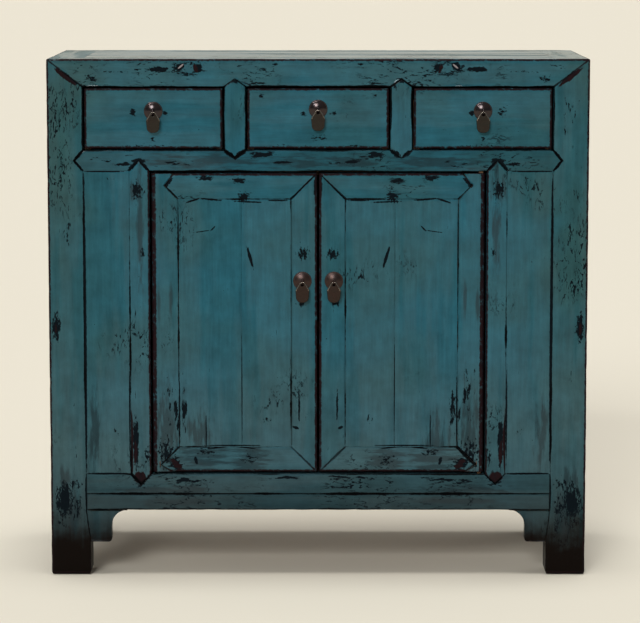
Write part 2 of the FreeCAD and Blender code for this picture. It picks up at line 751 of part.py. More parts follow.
def drawer_runners():
    """The four runners, each with a ledge under the drawers and a guide beside them."""
    ledge = (MIDDLE_RAIL_TOP - RUNNER_HEIGHT, MIDDLE_RAIL_TOP)
    guide = (MIDDLE_RAIL_TOP - RUNNER_HEIGHT, MIDDLE_RAIL_TOP + GUIDE_HEIGHT)
    end_x, inner_x = RUNNER_XS
    along = (RUNNER_FRONT, RUNNER_BACK)
    front_end, back_end, front_inner, back_inner = runner_stubs(0)
    end = joined(
        slab(end_x, along, ledge),
        slab((-POST_INNER - GUIDE_WIDTH, -POST_INNER), (FRONT + POST, BACK - POST), guide),
        front_end,
        back_end,
    )
    inner = joined(
        slab(inner_x, along, ledge),
        slab(DIVIDER_SPAN, along, guide),
        front_inner,
        back_inner,
    )
    return Part.makeCompound([end, inner, flipped_x(inner), flipped_x(end)])


# Doors: the left leaf is modelled, and the right one is its mirror image

DOOR_Y = (FRONT, FRONT + DOOR_THICKNESS)
DOOR_PANEL_X = (DOOR_LEFT + DOOR_STILE, DOOR_RIGHT - DOOR_STILE)
DOOR_PANEL_Z = (DOOR_BOTTOM + DOOR_RAIL, DOOR_TOP - DOOR_RAIL)


def flipped_z(shape):
    """The mirror image at the other end of the door, top to bottom."""
    return shape.mirror(Vector(0, 0, DOOR_MIDDLE_Z), Vector(0, 0, 1))


def rounded(block, radius, test):
    """A box with the edges that pass a test rounded."""
    return block.makeFillet(radius, edges_where(block, test))


def top_strip():
    """The whole top edge of the left leaf, rounded in front."""
    block = slab((DOOR_LEFT, DOOR_RIGHT), DOOR_Y, (DOOR_PANEL_Z[1], DOOR_TOP))
    return rounded(block, DOOR_ARRIS, lambda p: near(p.y, FRONT) and near(p.z, DOOR_TOP))


def door_point():
    """The pointed shoulder of the top rail in the face of the hinge stile."""
    x, z = DOOR_PANEL_X[0], DOOR_PANEL_Z[1]
    outline = [(x, z), (x - DOOR_POINT, z + DOOR_POINT), (x - DOOR_POINT_RETURN, DOOR_TOP), (x, DOOR_TOP)]
    return prism_xz(outline, (FRONT, FRONT + DOOR_POINT_LAYER))


def door_tenons(play):
    """The top rail's tenons in the hinge stile and in the meeting stile."""
    y = (FRONT + PANEL_THICKNESS, FRONT + PANEL_THICKNESS + DOOR_TENON_THICKNESS)
    low = DOOR_PANEL_Z[1] + DOOR_TENON_SHOULDER
    z = (low, low + DOOR_TENON_HEIGHT)
    hinge, meeting = DOOR_PANEL_X
    ends = [(hinge - DOOR_TENON_LENGTH, hinge), (meeting, meeting + DOOR_TENON_LENGTH)]
    return [slab(wider(x, play), wider(y, play), wider(z, play)) for x in ends]


def door_mitre(rail):
    """The part of the meeting corner that belongs to the rail, or to the stile."""
    x, z = DOOR_PANEL_X[1], DOOR_PANEL_Z[1]
    corner = (x, DOOR_TOP) if rail else (DOOR_RIGHT, z)
    return [(x, z), (DOOR_RIGHT, DOOR_TOP), corner]


def door_top_rail():
    """The left door's top rail: pointed at the hinge stile, mitred at the meeting stile."""
    strip = top_strip()
    mitre = prism_xz(corner_triangle(*door_mitre(False)), wider(DOOR_Y, OVERRUN))
    length = slab((DOOR_PANEL_X[0], DOOR_RIGHT), DOOR_Y, (DOOR_PANEL_Z[1], DOOR_TOP))
    bar = less(strip.common(length), mitre)
    bar = joined(bar, door_point().common(strip), *door_tenons(0))
    return less(bar, flush_groove(DOOR_PANEL_X, DOOR_PANEL_Z))


def door_hinge_stile():
    """The left door's outer stile, well rounded at the hinge, with a dowel at each end."""
    block = slab((DOOR_LEFT, DOOR_PANEL_X[0]), DOOR_Y, (DOOR_BOTTOM, DOOR_TOP))
    bar = rounded(block, HINGE_ARRIS, lambda p: near(p.y, FRONT) and near(p.x, DOOR_LEFT))
    tops = rounded(block, DOOR_ARRIS, lambda p: near(p.y, FRONT) and near(p.z, DOOR_TOP))
    top = [door_point(), door_tenons(FIT)[0]]
    bar = less(bar.common(tops).common(flipped_z(tops)), *top, *[flipped_z(cut) for cut in top])
    return less(joined(bar, *pivot(0, 0)), flush_groove(DOOR_PANEL_X, DOOR_PANEL_Z))


def door_meeting_stile():
    """The left door's inner stile, mitred at both ends and bored for the pull."""
    block = slab((DOOR_PANEL_X[1], DOOR_RIGHT), DOOR_Y, (DOOR_BOTTOM, DOOR_TOP))
    bar = rounded(block, DOOR_ARRIS, lambda p: near(p.y, FRONT) and near(p.x, DOOR_RIGHT))
    mitre = prism_xz(corner_triangle(*door_mitre(True)), wider(DOOR_Y, OVERRUN))
    top = [mitre, door_tenons(FIT)[1]]
    bar = less(bar, *top, *[flipped_z(cut) for cut in top])
    bore = pull_bore(DOOR_PULL_X, DOOR_PULL_HEIGHT, DOOR_THICKNESS)
    return less(bar, flush_groove(DOOR_PANEL_X, DOOR_PANEL_Z), bore)


def door_pieces():
    """The left door's pieces by name."""
    top = door_top_rail()
    return {
        "hinge_stile": door_hinge_stile(),
        "meeting_stile": door_meeting_stile(),
        "top_rail": top,
        "bottom_rail": flipped_z(top),
        "panel": flush_panel(DOOR_PANEL_X, DOOR_PANEL_Z),
    }


# Pulls

DOOR_PULL_X = (DOOR_PANEL_X[1] + DOOR_RIGHT) / 2 - DOOR_PULL_SHIFT
SIDE_PULL_Z = (MIDDLE_RAIL_TOP + TOP_RAIL_BOTTOM) / 2 + DRAWER_PULL_RISE
DRAWER_PULL_ZS = {"left": SIDE_PULL_Z, "centre": SIDE_PULL_Z + CENTRE_PULL_LIFT, "right": SIDE_PULL_Z}
BACKWARDS = Vector(0, 1, 0)


def pull_bore(x, z, thickness):
    """The hole for a pull's pin, through a front of some thickness."""
    base = Vector(x, FRONT - OVERRUN, z)
    return cylinder(SHANK_RADIUS + SHANK_CLEARANCE, base, BACKWARDS, thickness + 2 * OVERRUN)


def pull_plate(x, z):
    """The domed round plate, a thin shell with a hole for the pin."""
    sphere = (PLATE_RADIUS ** 2 + PLATE_DOME ** 2) / (2 * PLATE_DOME)
    centre = Vector(x, FRONT - PLATE_DOME + sphere, z)
    outer = Part.makeSphere(sphere, centre)
    inner = Part.makeSphere(sphere - PLATE_THICKNESS, centre)
    ahead = slab(
        (x - PLATE_RADIUS - OVERRUN, x + PLATE_RADIUS + OVERRUN),
        (FRONT - PLATE_DOME - OVERRUN, FRONT),
        (z - PLATE_RADIUS - OVERRUN, z + PLATE_RADIUS + OVERRUN),
    )
    return less(outer.common(ahead), inner, pull_bore(x, z, OVERRUN))


def pull_pin(x, z, thickness):
    """The split pin: an eye in front, a shank, and two legs spread behind the front."""
    eye = Vector(x, FRONT - EYE_OFFSET, z)
    ring = Part.makeTorus(EYE_RADIUS, WIRE_RADIUS, eye, Vector(1, 0, 0))
    neck = FRONT - EYE_OFFSET + EYE_RADIUS
    shank = cylinder(
        SHANK_RADIUS,
        Vector(x, neck, z),
        BACKWARDS,
        FRONT + thickness + LEG_THICKNESS - neck,
    )
    legs = slab(
        (x - LEG_LENGTH, x + LEG_LENGTH),
        (FRONT + thickness, FRONT + thickness + LEG_THICKNESS),
        (z - LEG_WIDTH / 2, z + LEG_WIDTH / 2),
    )
    return joined(ring, shank, legs)


def pull_drop(x, z):
    """The flat drop: a round neck on the eye, sloping shoulders and a rounded foot."""
    hole = WIRE_RADIUS + DROP_HOLE_PLAY
    neck = hole + DROP_RIM
    hang = z - DROP_HOLE_FALL
    y = FRONT - EYE_OFFSET - DROP_THICKNESS / 2
    shoulder, foot = DROP_SHOULDER_WIDTH / 2, DROP_FOOT_WIDTH / 2

    def at(across, fall):
        return Vector(x + across, y, z - fall)

    corners = [
        Part.LineSegment(at(neck, DROP_HOLE_FALL), at(shoulder, DROP_SHOULDER_FALL)),
        Part.LineSegment(at(shoulder, DROP_SHOULDER_FALL), at(foot, DROP_FOOT_FALL)),
        Part.Arc(at(foot, DROP_FOOT_FALL), at(0, DROP_LENGTH), at(-foot, DROP_FOOT_FALL)),
        Part.LineSegment(at(-foot, DROP_FOOT_FALL), at(-shoulder, DROP_SHOULDER_FALL)),
        Part.LineSegment(at(-shoulder, DROP_SHOULDER_FALL), at(-neck, DROP_HOLE_FALL)),
        Part.Arc(at(-neck, DROP_HOLE_FALL), Vector(x, y, hang + neck), at(neck, DROP_HOLE_FALL)),
    ]
    outline = Part.Wire([edge.toShape() for edge in corners])
    plate = Part.Face(outline).extrude(BACKWARDS * DROP_THICKNESS)
    bore = cylinder(hole, Vector(x, y - OVERRUN, hang), BACKWARDS, DROP_THICKNESS + 2 * OVERRUN)
    return less(plate, bore)


def pull_pieces(x, z, thickness):
    """A pull's pieces by name, on a front of some thickness."""
    return {
        "pull_plate": pull_plate(x, z),
        "pull_pin": pull_pin(x, z, thickness),
        "pull_drop": pull_drop(x, z),
    }


# Drawers

def drawer_pieces(opening, pull_z):
    """The pieces of the drawer in an opening, given as its left and right edges."""
    x = narrower(opening, DRAWER_GAP)
    inner_x = narrower(x, DRAWER_SIDE_THICKNESS)
    front_y = (FRONT, FRONT + DRAWER_FRONT_THICKNESS)
    end_y = FRONT + DRAWER_LENGTH
    low = MIDDLE_RAIL_TOP + RUN_CLEARANCE
    side_z = (low, low + DRAWER_SIDE_HEIGHT)
    bottom_z = (low + DRAWER_BOTTOM_RISE, low + DRAWER_BOTTOM_RISE + DRAWER_BOTTOM_THICKNESS)
    back_y = (end_y - DRAWER_BACK_SETBACK - DRAWER_SIDE_THICKNESS, end_y - DRAWER_BACK_SETBACK)
    side_y = (front_y[1] - DRAWER_LAP, end_y)
    bottom_y = (front_y[1] - DRAWER_DADO, end_y)

    def bottom(play):
        return slab(wider(wider(inner_x, DRAWER_DADO), play), wider(bottom_y, play), wider(bottom_z, play))

    def back(play):
        across = wider(wider(inner_x, DRAWER_DADO), play)
        return slab(across, wider(back_y, play), wider((bottom_z[1], side_z[1]), play))

    left_side = slab((x[0], inner_x[0]), side_y, side_z)
    right_side = slab((inner_x[1], x[1]), side_y, side_z)
    face = slab(x, front_y, narrower((MIDDLE_RAIL_TOP, TOP_RAIL_BOTTOM), DRAWER_GAP))
    face = face.makeFillet(DRAWER_ARRIS, edges_where(face, lambda p: near(p.y, FRONT)))
    middle = (opening[0] + opening[1]) / 2
    bore = pull_bore(middle, pull_z, DRAWER_FRONT_THICKNESS)
    return {
        "front": less(face, left_side, right_side, bottom(FIT), bore),
        "sides": Part.makeCompound([less(s, bottom(FIT), back(FIT)) for s in (left_side, right_side)]),
        "back": back(0),
        "bottom": bottom(0),
    }


DRAWER_OPENINGS = {
    "left": (-POST_INNER, -DIVIDER_OUTER),
    "centre": (-DIVIDER_INNER, DIVIDER_INNER),
    "right": (DIVIDER_OUTER, POST_INNER),
}


# The whole sideboard

def carcase_pieces():
    """Every piece of the fixed carcase by node name."""
    envelope = carcase_envelope()
    blank = post_blank(envelope)
    left_post = front_post(blank)
    return {
        "front_left_post": left_post,
        "front_right_post": flipped_x(left_post),
        "rear_posts": pair(rear_post(blank)),
        "top_front_rail": top_front_rail(envelope),
        "top_rear_rail": top_rear_rail(envelope),
        "top_side_rails": pair(top_side_rail(envelope)),
        "top_panel": top_panel(),
        "top_battens": pair(top_batten()),
        "drawer_dividers": pair(drawer_divider()),
        "middle_rail": middle_rail(),
        "bottom_rail": bottom_rail(),
        "front_apron": front_apron(),
        "apron_brackets": pair(apron_bracket()),
        "door_jambs": pair(door_jamb()),
        "fixed_front_panels": pair(flush_panel(FIXED_PANEL_X, FIXED_PANEL_Z)),
        "side_panels": pair(side_panel_block(0)),
        "side_bottom_rails": pair(side_bottom_rail()),
        "rear_rails": rear_rails(),
        "back_boards": back_boards(),
        "cabinet_floor": cabinet_floor(),
        "shelf": shelf(),
        "shelf_cleats": pair(shelf_cleat()),
        "drawer_runners": drawer_runners(),
    }


def all_pieces():
    """Every piece of the sideboard by node name."""
    pieces = carcase_pieces()
    leaf = {**door_pieces(), **pull_pieces(DOOR_PULL_X, DOOR_PULL_HEIGHT, DOOR_THICKNESS)}
    for name, shape in leaf.items():
        pieces[f"left_door_{name}"] = shape
        pieces[f"right_door_{name}"] = flipped_x(shape)
    for side, opening in DRAWER_OPENINGS.items():
        middle = (opening[0] + opening[1]) / 2
        pull_z = DRAWER_PULL_ZS[side]
        pull = pull_pieces(middle, pull_z, DRAWER_FRONT_THICKNESS)
        for name, shape in {**drawer_pieces(opening, pull_z), **pull}.items():
            pieces[f"{side}_drawer_{name}"] = shape
    return pieces


def main():
    """Writes one STEP file for each node."""
    os.makedirs("parts", exist_ok=True)
    for name, shape in all_pieces().items():
        shape.exportStep(os.path.join("parts", f"{name}.step"))
        volumes = ", ".join(f"{solid.Volume:.0f}" for solid in shape.Solids)
        print(f"{name}: {volumes} mm3, valid {shape.isValid()}")


main()
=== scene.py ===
"""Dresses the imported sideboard: worn blue-green lacquer, aged bare wood and dark bronze pulls.

Lengths are in metres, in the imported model's frame: +X to the right, +Y to the back, +Z up.
"""

import logging
import math
from dataclasses import dataclass, field, replace
from enum import Enum
from functools import partial
from typing import Callable, Iterable, Optional, Sequence, Union

import bmesh
import bpy
from mathutils import Matrix, Vector, noise

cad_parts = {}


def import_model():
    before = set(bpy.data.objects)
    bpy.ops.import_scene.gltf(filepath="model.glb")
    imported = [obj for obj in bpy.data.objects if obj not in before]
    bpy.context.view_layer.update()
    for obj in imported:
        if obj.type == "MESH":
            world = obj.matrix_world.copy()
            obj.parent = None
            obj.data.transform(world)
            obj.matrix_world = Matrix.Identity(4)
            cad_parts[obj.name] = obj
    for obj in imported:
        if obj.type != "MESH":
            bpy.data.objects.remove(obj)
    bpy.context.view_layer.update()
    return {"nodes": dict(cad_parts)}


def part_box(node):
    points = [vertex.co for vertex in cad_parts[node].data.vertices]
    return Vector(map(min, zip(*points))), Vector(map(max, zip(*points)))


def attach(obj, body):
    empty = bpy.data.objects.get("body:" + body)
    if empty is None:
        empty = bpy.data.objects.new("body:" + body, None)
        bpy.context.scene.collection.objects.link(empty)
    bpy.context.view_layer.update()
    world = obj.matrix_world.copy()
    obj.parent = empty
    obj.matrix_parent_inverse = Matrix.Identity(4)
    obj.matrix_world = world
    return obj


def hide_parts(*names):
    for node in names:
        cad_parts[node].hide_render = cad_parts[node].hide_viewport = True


LOG = logging.getLogger("sideboard")

Point = tuple[float, float]
Span = tuple[float, float]
Colour = tuple[float, float, float]
Shares = tuple[float, ...]
Box = tuple[Vector, Vector]
Material = bpy.types.Material
EdgeTest = Callable[[Vector, Vector], bool]
FaceTest = Callable[[Vector, Vector], bool]
Element = Union[bmesh.types.BMVert, bmesh.types.BMEdge, bmesh.types.BMFace]

RIGHT, BACK, UP = Vector((1.0, 0.0, 0.0)), Vector((0.0, 1.0, 0.0)), Vector((0.0, 0.0, 1.0))
# Lengths closer than this are the same.
SAME = 1e-4
# The least share of a normal or a direction on the axis that it follows.
FACING = 0.7
ALONG = 0.9
NOISE_MEAN = 0.5


class Grain(Enum):
    """The axis that a piece's grain runs along."""

    ACROSS = 0
    DEEP = 1
    UPRIGHT = 2

    def squeeze(self, along: float) -> list[float]:
        """The scale of a pattern that is drawn out along the grain."""
        return [along if axis == self.value else 1.0 for axis in range(3)]


class Outlook(Enum):
    """The side that an outline is drawn on, before it is cut through the stock."""

    FRONT = "front"
    PLAN = "plan"

    def place(self, across: float, up: float, deep: float) -> Vector:
        """A point of the drawing, and its depth into the stock, in the row frame.

        Args:
            across: The drawing's horizontal measure.
            up: The drawing's vertical measure.
            deep: The distance along the cut.

        Returns:
            The point in metres.
        """
        if self is Outlook.FRONT:
            return Vector((across, deep, up))
        return Vector((across, up, deep))


class Hand(Enum):
    """The side of the cabinet that a door or post stands on."""

    LEFT = "left"
    RIGHT = "right"


class Wear(Enum):
    """What a worn place shows, or a painted glint."""

    CHIP = "chip"
    STROKE = "stroke"
    BARE = "bare"
    SMUDGE = "smudge"
    # A painted glint: a pale spot that stands in for a highlight on the knot's rim.
    PALE = "pale"


@dataclass(frozen=True)
class Mark:
    """One worn place, or a painted glint, on the front, the same on both sides of the centre line.
    """

    kind: Wear
    x: float
    z: float
    half_width: float
    half_height: float
    turn: float = 0.0
    ragged: float = 1.0
    sparse: float = 0.0
    hollow: float = 0.0


@dataclass(frozen=True)
class Cloud:
    """The look of a noise.

    It has blotches to the metre, finer layers and their strength, a bend by which it distorts
    itself, and a scale along the grain, which is less than 1 where it is drawn out.
    """

    scale: float
    detail: float = 2.0
    rough: float = 0.5
    bend: float = 0.0
    along: float = 1.0


class Value:
    """A shader socket that takes part in Python sums, each of which adds a Math node."""

    def __init__(self, shader: "Shader", socket: bpy.types.NodeSocket) -> None:
        """Keeps the socket and its shader."""
        self.shader = shader
        self.socket = socket

    def _sum(self, operation: str, first: "Input", second: "Input") -> "Value":
        """A Math node on two values."""
        return self.shader.node("ShaderNodeMath", {"operation": operation}, {0: first, 1: second})

    def __add__(self, other: "Input") -> "Value":
        """This value and another added."""
        return self._sum("ADD", self, other)

    def __radd__(self, other: "Input") -> "Value":
        """A number and this value added."""
        return self._sum("ADD", other, self)

    def __sub__(self, other: "Input") -> "Value":
        """Another value taken from this one."""
        return self._sum("SUBTRACT", self, other)

    def __rsub__(self, other: "Input") -> "Value":
        """This value taken from a number."""
        return self._sum("SUBTRACT", other, self)

    def __mul__(self, other: "Input") -> "Value":
        """This value times another."""
        return self._sum("MULTIPLY", self, other)

    def __rmul__(self, other: "Input") -> "Value":
        """A number times this value."""
        return self._sum("MULTIPLY", other, self)

    def most(self, other: "Input") -> "Value":
        """The larger of two values."""
        return self._sum("MAXIMUM", self, other)

    def size(self) -> "Value":
        """The value without its sign."""
        return self._sum("ABSOLUTE", self, 0.0)

    def centred(self) -> "Value":
        """A noise with its mean taken off."""
        return self - NOISE_MEAN

    def rise(self, low: float, high: float) -> "Value":
        """A soft step from 0 at low to 1 at high.

        Args:
            low: Where the step starts.
            high: Where the step ends.

        Returns:
            The stepped value, between 0 and 1.
        """
        return self.shader.node(
            "ShaderNodeMapRange",
            {"interpolation_type": "SMOOTHSTEP"},
            {"Value": self, "From Min": low, "From Max": high},
        )

    def fall(self, low: float, high: float) -> "Value":
        """A soft step from 1 at low to 0 at high."""
        return 1.0 - self.rise(low, high)

    def part(self, name: str) -> "Value":
        """Another output of the node that this value comes from."""
        return Value(self.shader, self.socket.node.outputs[name])


Input = Union[Value, float, Sequence[float]]


class Shader:
    """One material, or the sky, while its nodes are laid out."""

    def __init__(self, owner: Union[Material, bpy.types.World]) -> None:
        """Clears the owner's nodes.

        Args:
            owner: The material or the sky.
        """
        self.owner = owner
        owner.use_nodes = True
        self.tree = owner.node_tree
        self.tree.nodes.clear()

    @classmethod
    def material(cls, name: str) -> "Shader":
        """Starts an empty material."""
        return cls(bpy.data.materials.new(name))

    def node(
        self, kind: str, settings: dict[str, object], sockets: dict[Union[int, str], Input],
        output: int = 0,
    ) -> Optional[Value]:
        """Adds a node, sets it up, and then feeds its sockets.

        Args:
            kind: The node's type.
            settings: The node's own settings.
            sockets: A value, number or link for each named or numbered socket.
            output: The number of the output that is wanted.

        Returns:
            That output, or None for a node without one.
        """
        made = self.tree.nodes.new(kind)
        for name, setting in settings.items():
            setattr(made, name, setting)
        for key, value in sockets.items():
            if isinstance(value, Value):
                self.tree.links.new(value.socket, made.inputs[key])
            else:
                made.inputs[key].default_value = value
        return Value(self, made.outputs[output]) if made.outputs else None

    def place(self) -> Value:
        """The object's own coordinates, which are the row frame."""
        return self.node("ShaderNodeTexCoord", {}, {}).part("Object")

    def attribute(self, name: str) -> Value:
        """A number that the mesh carries at each vertex."""
        return self.node("ShaderNodeAttribute", {"attribute_name": name}, {}).part("Fac")

    def stretched(self, where: Value, scale: Sequence[float]) -> Value:
        """Coordinates scaled axis by axis."""
        sockets = {"Vector": where, "Scale": scale}
        return self.node("ShaderNodeMapping", {"vector_type": "POINT"}, sockets)

    def shifted(self, where: Value, by: Value) -> Value:
        """Coordinates moved along all axes by a value."""
        step = self.node("ShaderNodeCombineXYZ", {}, {0: by, 1: by, 2: by})
        return self.node("ShaderNodeVectorMath", {"operation": "ADD"}, {0: where, 1: step})

    def cloud(self, where: Value, look: Cloud, grain: Optional[Grain] = None) -> Value:
        """A noise between 0 and 1.

        Args:
            where: The coordinates.
            look: The noise's look.
            grain: The axis that it is drawn out along.

        Returns:
            The noise.
        """
        if grain is not None and look.along != 1.0:
            where = self.stretched(where, grain.squeeze(look.along))
        sockets = {
            "Vector": where, "Scale": look.scale, "Detail": look.detail, "Roughness": look.rough,
            "Distortion": look.bend,
        }
        return self.node("ShaderNodeTexNoise", {"noise_dimensions": "3D"}, sockets)

    def mix(self, share: Input, first: Input, second: Input) -> Value:
        """A blend of two colours.

        Args:
            share: How much of the second colour shows.
            first: A colour or a link.
            second: A colour or a link.

        Returns:
            The blended colour.
        """
        colours = [c if isinstance(c, Value) else (*c, 1.0) for c in (first, second)]
        settings = {"data_type": "RGBA", "clamp_factor": True}
        sockets = {0: share, 6: colours[0], 7: colours[1]}
        return self.node("ShaderNodeMix", settings, sockets, output=2)

    def brighter(self, colour: Value, by: Value) -> Value:
        """A colour times a number."""
        return self.node("ShaderNodeVectorMath", {"operation": "SCALE"}, {0: colour, "Scale": by})

    def bump(self, height: Value, strength: float, reach: float) -> Value:
        """A surface normal that follows a height."""
        sockets = {"Height": height, "Strength": strength, "Distance": reach}
        return self.node("ShaderNodeBump", {}, sockets)

    def surface(self, sockets: dict[Union[int, str], Input]) -> Material:
        """Ends the material in a Principled shader.

        Args:
            sockets: What feeds the shader.

        Returns:
            The finished material.
        """
        shader = self.node("ShaderNodeBsdfPrincipled", {}, sockets)
        self.node("ShaderNodeOutputMaterial", {}, {"Surface": shader})
        return self.owner


def weighed(shares: Shares, *layers: Value) -> Value:
    """Some layers added up, each times its share."""
    parts = [layer * share for layer, share in zip(layers, shares)]
    return sum(parts[1:], parts[0])


def sooner(step: Span, by: float) -> Span:
    """A step moved down, so that more of a noise passes it."""
    return step[0] - by, step[1] - by


@dataclass(frozen=True)
class Lacquer:
    """Blue-green lacquer over a dark ground, rubbed through to red-brown at the edges.

    A step holds the values of a noise between which a layer sets in, and a reach holds the places,
    in metres, between which it does.
    """

    front: float
    blue: Colour = (0.0170, 0.095, 0.132)
    green: Colour = (0.0225, 0.073, 0.079)
    # Greyer tone of the lower part: partly faded lacquer, partly a painted reflection of the floor.
    faded: Colour = (0.0420, 0.080, 0.091)
    ground: Colour = (0.0018, 0.0050, 0.0078)
    seam: Colour = (0.0010, 0.0013, 0.0018)
    undercoat: Colour = (0.023, 0.0060, 0.0064)
    # Pale colour of the painted glint on the knot's rim.
    filler: Colour = (0.24, 0.215, 0.225)
    soot: Colour = (0.0048, 0.0026, 0.0018)
    grime: Colour = (0.0105, 0.0190, 0.0235)

    patches: Cloud = Cloud(6.0, 3.0)
    blotches: Cloud = Cloud(26.0, 4.0, 0.6)
    brush: Cloud = Cloud(110.0, 4.0, 0.6, along=0.05)
    fibre: Cloud = Cloud(520.0, along=0.05)
    ragged: Cloud = Cloud(130.0, 5.0, 0.7)
    torn: Cloud = Cloud(240.0, 4.0, 0.65, along=0.45)
    dashes: Cloud = Cloud(125.0, 4.0, 0.6, along=0.16)
    cracks: Cloud = Cloud(60.0, 3.0, 0.6, 0.6, along=0.35)
    strokes: Cloud = Cloud(150.0, 4.0, 0.65, along=0.28)
    specks: Cloud = Cloud(230.0, 1.0)
    bridged: Cloud = Cloud(13.0)
    dull: Cloud = Cloud(18.0, 3.0, 0.6, along=0.12)

    green_step: Span = (0.38, 0.64)
    green_share: float = 0.5
    outer_reach: Span = (0.31, 0.47)
    outer_share: float = 0.6
    fade_reach: Span = (0.14, 0.52)
    fade_share: float = 0.6
    tones: Shares = (0.46, 0.20, 0.92, 0.42)
    # Painted shade: the heights over which the colour darkens towards the floor, and its darkest
    # share.
    dim_reach: Span = (0.03, 0.225)
    dim_tone: float = 0.12

    crowd_step: Span = (0.60, 0.70)
    crowd_gain: float = 0.20
    chip_step: Span = (0.685, 0.70)
    stray_chips: float = 0.12
    crack_step: Span = (0.014, 0.030)
    crack_break_step: Span = (0.47, 0.52)
    speck_step: Span = (0.77, 0.79)
    speck_patch_step: Span = (0.50, 0.54)
    dash_step: Span = (0.665, 0.70)
    dash_patch_step: Span = (0.56, 0.62)
    dash_gain: float = 0.12
    smudges: Shares = (0.6, 0.7)
    smudge_step: Span = (0.80, 0.98)
    smudge_gain: float = 0.5

    face_reach: Span = (0.003, 0.008)
    mark_depth: float = 1000.0
    mark_tear: float = 2.6
    mark_rim: float = 0.09
    smudge_rim: float = 0.5
    smudge_share: float = 0.62
    hollow_rim: float = 0.1

    rub_tear: float = 1.2
    rub_step: Span = (0.70, 0.98)
    joint_tear: float = 0.7
    joint_step: Span = (0.62, 0.92)
    joint_core_step: Span = (0.85, 1.0)
    joint_core_share: float = 0.6
    bridge_mean: float = 0.54
    bridge_gain: float = 1.7
    bare_tone: float = 0.4
    foot_blotches: float = 0.10
    foot_brush: float = 0.06
    foot_reach: Span = (0.045, 0.115)
    foot_share: float = 0.97
    foot_rubbed: float = 0.6

    heights: Shares = (0.22, 0.08, 0.5, -0.9, -0.2)
    bump_strength: float = 0.30
    bump_reach: float = 0.0010
    rough: float = 0.26
    roughs: Shares = (0.08, 0.10, 0.2)
    dull_step: Span = (0.47, 0.60)
    dull_loss: float = 0.85
    worn_loss: float = 0.94
    coat_rough: float = 0.15
    specular: float = 0.03

    def material(
        self, name: str, grain: Grain, wear: float, marks: Iterable[Mark] = (), depth: float = 1.0,
        gloss: float = 0.38,
    ) -> Material:
        """Lays out the lacquer for pieces of one grain, with the worn places that fall on them.

        Args:
            name: The material's name.
            grain: The axis that the brush and the grain ran along.
            wear: How crowded the small chips are, from 0 to 1.
            marks: Worn places on the front, and painted glints.
            depth: How bright the colour is.
            gloss: How strong the clear coat is.

        Returns:
            The material.
        """
        s = Shader.material(name)
        where = s.place()
        axes = s.node("ShaderNodeSeparateXYZ", {}, {0: where})
        x, y, z = axes.part("X"), axes.part("Y"), axes.part("Z")
        edge, rub = s.attribute("edge"), s.attribute("rub")

        def cloud(look: Cloud) -> Value:
            """A noise on these pieces, drawn out along their grain."""
            return s.cloud(where, look, grain)

        patches, blotches, bridged = cloud(self.patches), cloud(self.blotches), cloud(self.bridged)
        brush, fibre, dashes = cloud(self.brush), cloud(self.fibre), cloud(self.dashes)
        ragged, torn, strokes = cloud(self.ragged), cloud(self.torn), cloud(self.strokes)
        cracks, specks, dull = cloud(self.cracks), cloud(self.specks), cloud(self.dull)

        turned = patches.rise(*self.green_step) * self.green_share
        turned = turned + x.size().rise(*self.outer_reach) * self.outer_share
        colour = s.mix(turned, self.blue, self.green)
        # The lower part turns greyer: partly faded lacquer, partly a painted reflection of the
        # floor.
        colour = s.mix(z.fall(*self.fade_reach) * self.fade_share, colour, self.faded)
        tone = weighed(self.tones, brush, fibre, blotches, dashes)
        # Painted shade: the colour darkens towards the bottom of the cabinet.
        lit = self.dim_tone + z.rise(*self.dim_reach) * (1.0 - self.dim_tone)
        colour = s.brighter(colour, tone * lit * depth)

        crowd = patches.rise(*sooner(self.crowd_step, self.crowd_gain * wear))
        chips = torn.rise(*self.chip_step) * (self.stray_chips + crowd * (1.0 - self.stray_chips))
        lines = cracks.centred().size().fall(*self.crack_step) * torn.rise(*self.crack_break_step)
        spots = specks.rise(*self.speck_step) * blotches.rise(*self.speck_patch_step)
        chips = chips.most(lines * crowd).most(spots)
        spread = blotches.rise(*sooner(self.dash_patch_step, self.dash_gain * wear))
        chips = chips.most(dashes.rise(*self.dash_step) * spread)
        smudge = weighed(self.smudges, dashes, patches).rise(*self.smudge_step)
        smudge = smudge * (self.smudge_gain * wear)
        # pale holds the painted glint.
        bare, pale = None, None
        face = y.fall(*(self.front + reach for reach in self.face_reach))
        mirror = s.node("ShaderNodeVectorMath", {"operation": "ABSOLUTE"}, {0: where})
        for mark in marks:
            tear = {Wear.CHIP: torn, Wear.STROKE: strokes}.get(mark.kind, dashes)
            shape = self._spot(s, mirror, mark, tear) * face
            if mark.kind in (Wear.CHIP, Wear.STROKE):
                chips = chips.most(shape)
            elif mark.kind is Wear.SMUDGE:
                smudge = smudge.most(shape * self.smudge_share)
            elif mark.kind is Wear.BARE:
                bare = shape if bare is None else bare.most(shape)
            else:
                # A painted glint.
                pale = shape

        rubbed = (edge + ragged.centred() * self.rub_tear).rise(*self.rub_step) * rub
        joint = edge + ragged.centred() * self.joint_tear
        joint = joint + (bridged - self.bridge_mean) * self.bridge_gain
        core = edge.rise(*self.joint_core_step) * self.joint_core_share
        joint = joint.rise(*self.joint_step).most(core) * (1.0 - rub)
        red = rubbed if bare is None else rubbed.most(bare)
        foot = z + blotches.centred() * self.foot_blotches + brush.centred() * self.foot_brush
        foot = foot.fall(*self.foot_reach)
        colour = s.mix(smudge, colour, self.grime)
        colour = s.mix(chips, colour, self.ground)
        primed = s.mix(dashes, self.undercoat, self.ground)
        colour = s.mix(red, colour, s.brighter(primed, self.bare_tone + ragged))
        colour = s.mix(joint, colour, self.seam)
        colour = s.mix(foot * (self.foot_share - rubbed * self.foot_rubbed), colour, self.soot)
        # Paints the glint on the knot's rim as a pale spot.
        colour = colour if pale is None else s.mix(pale, colour, self.filler)

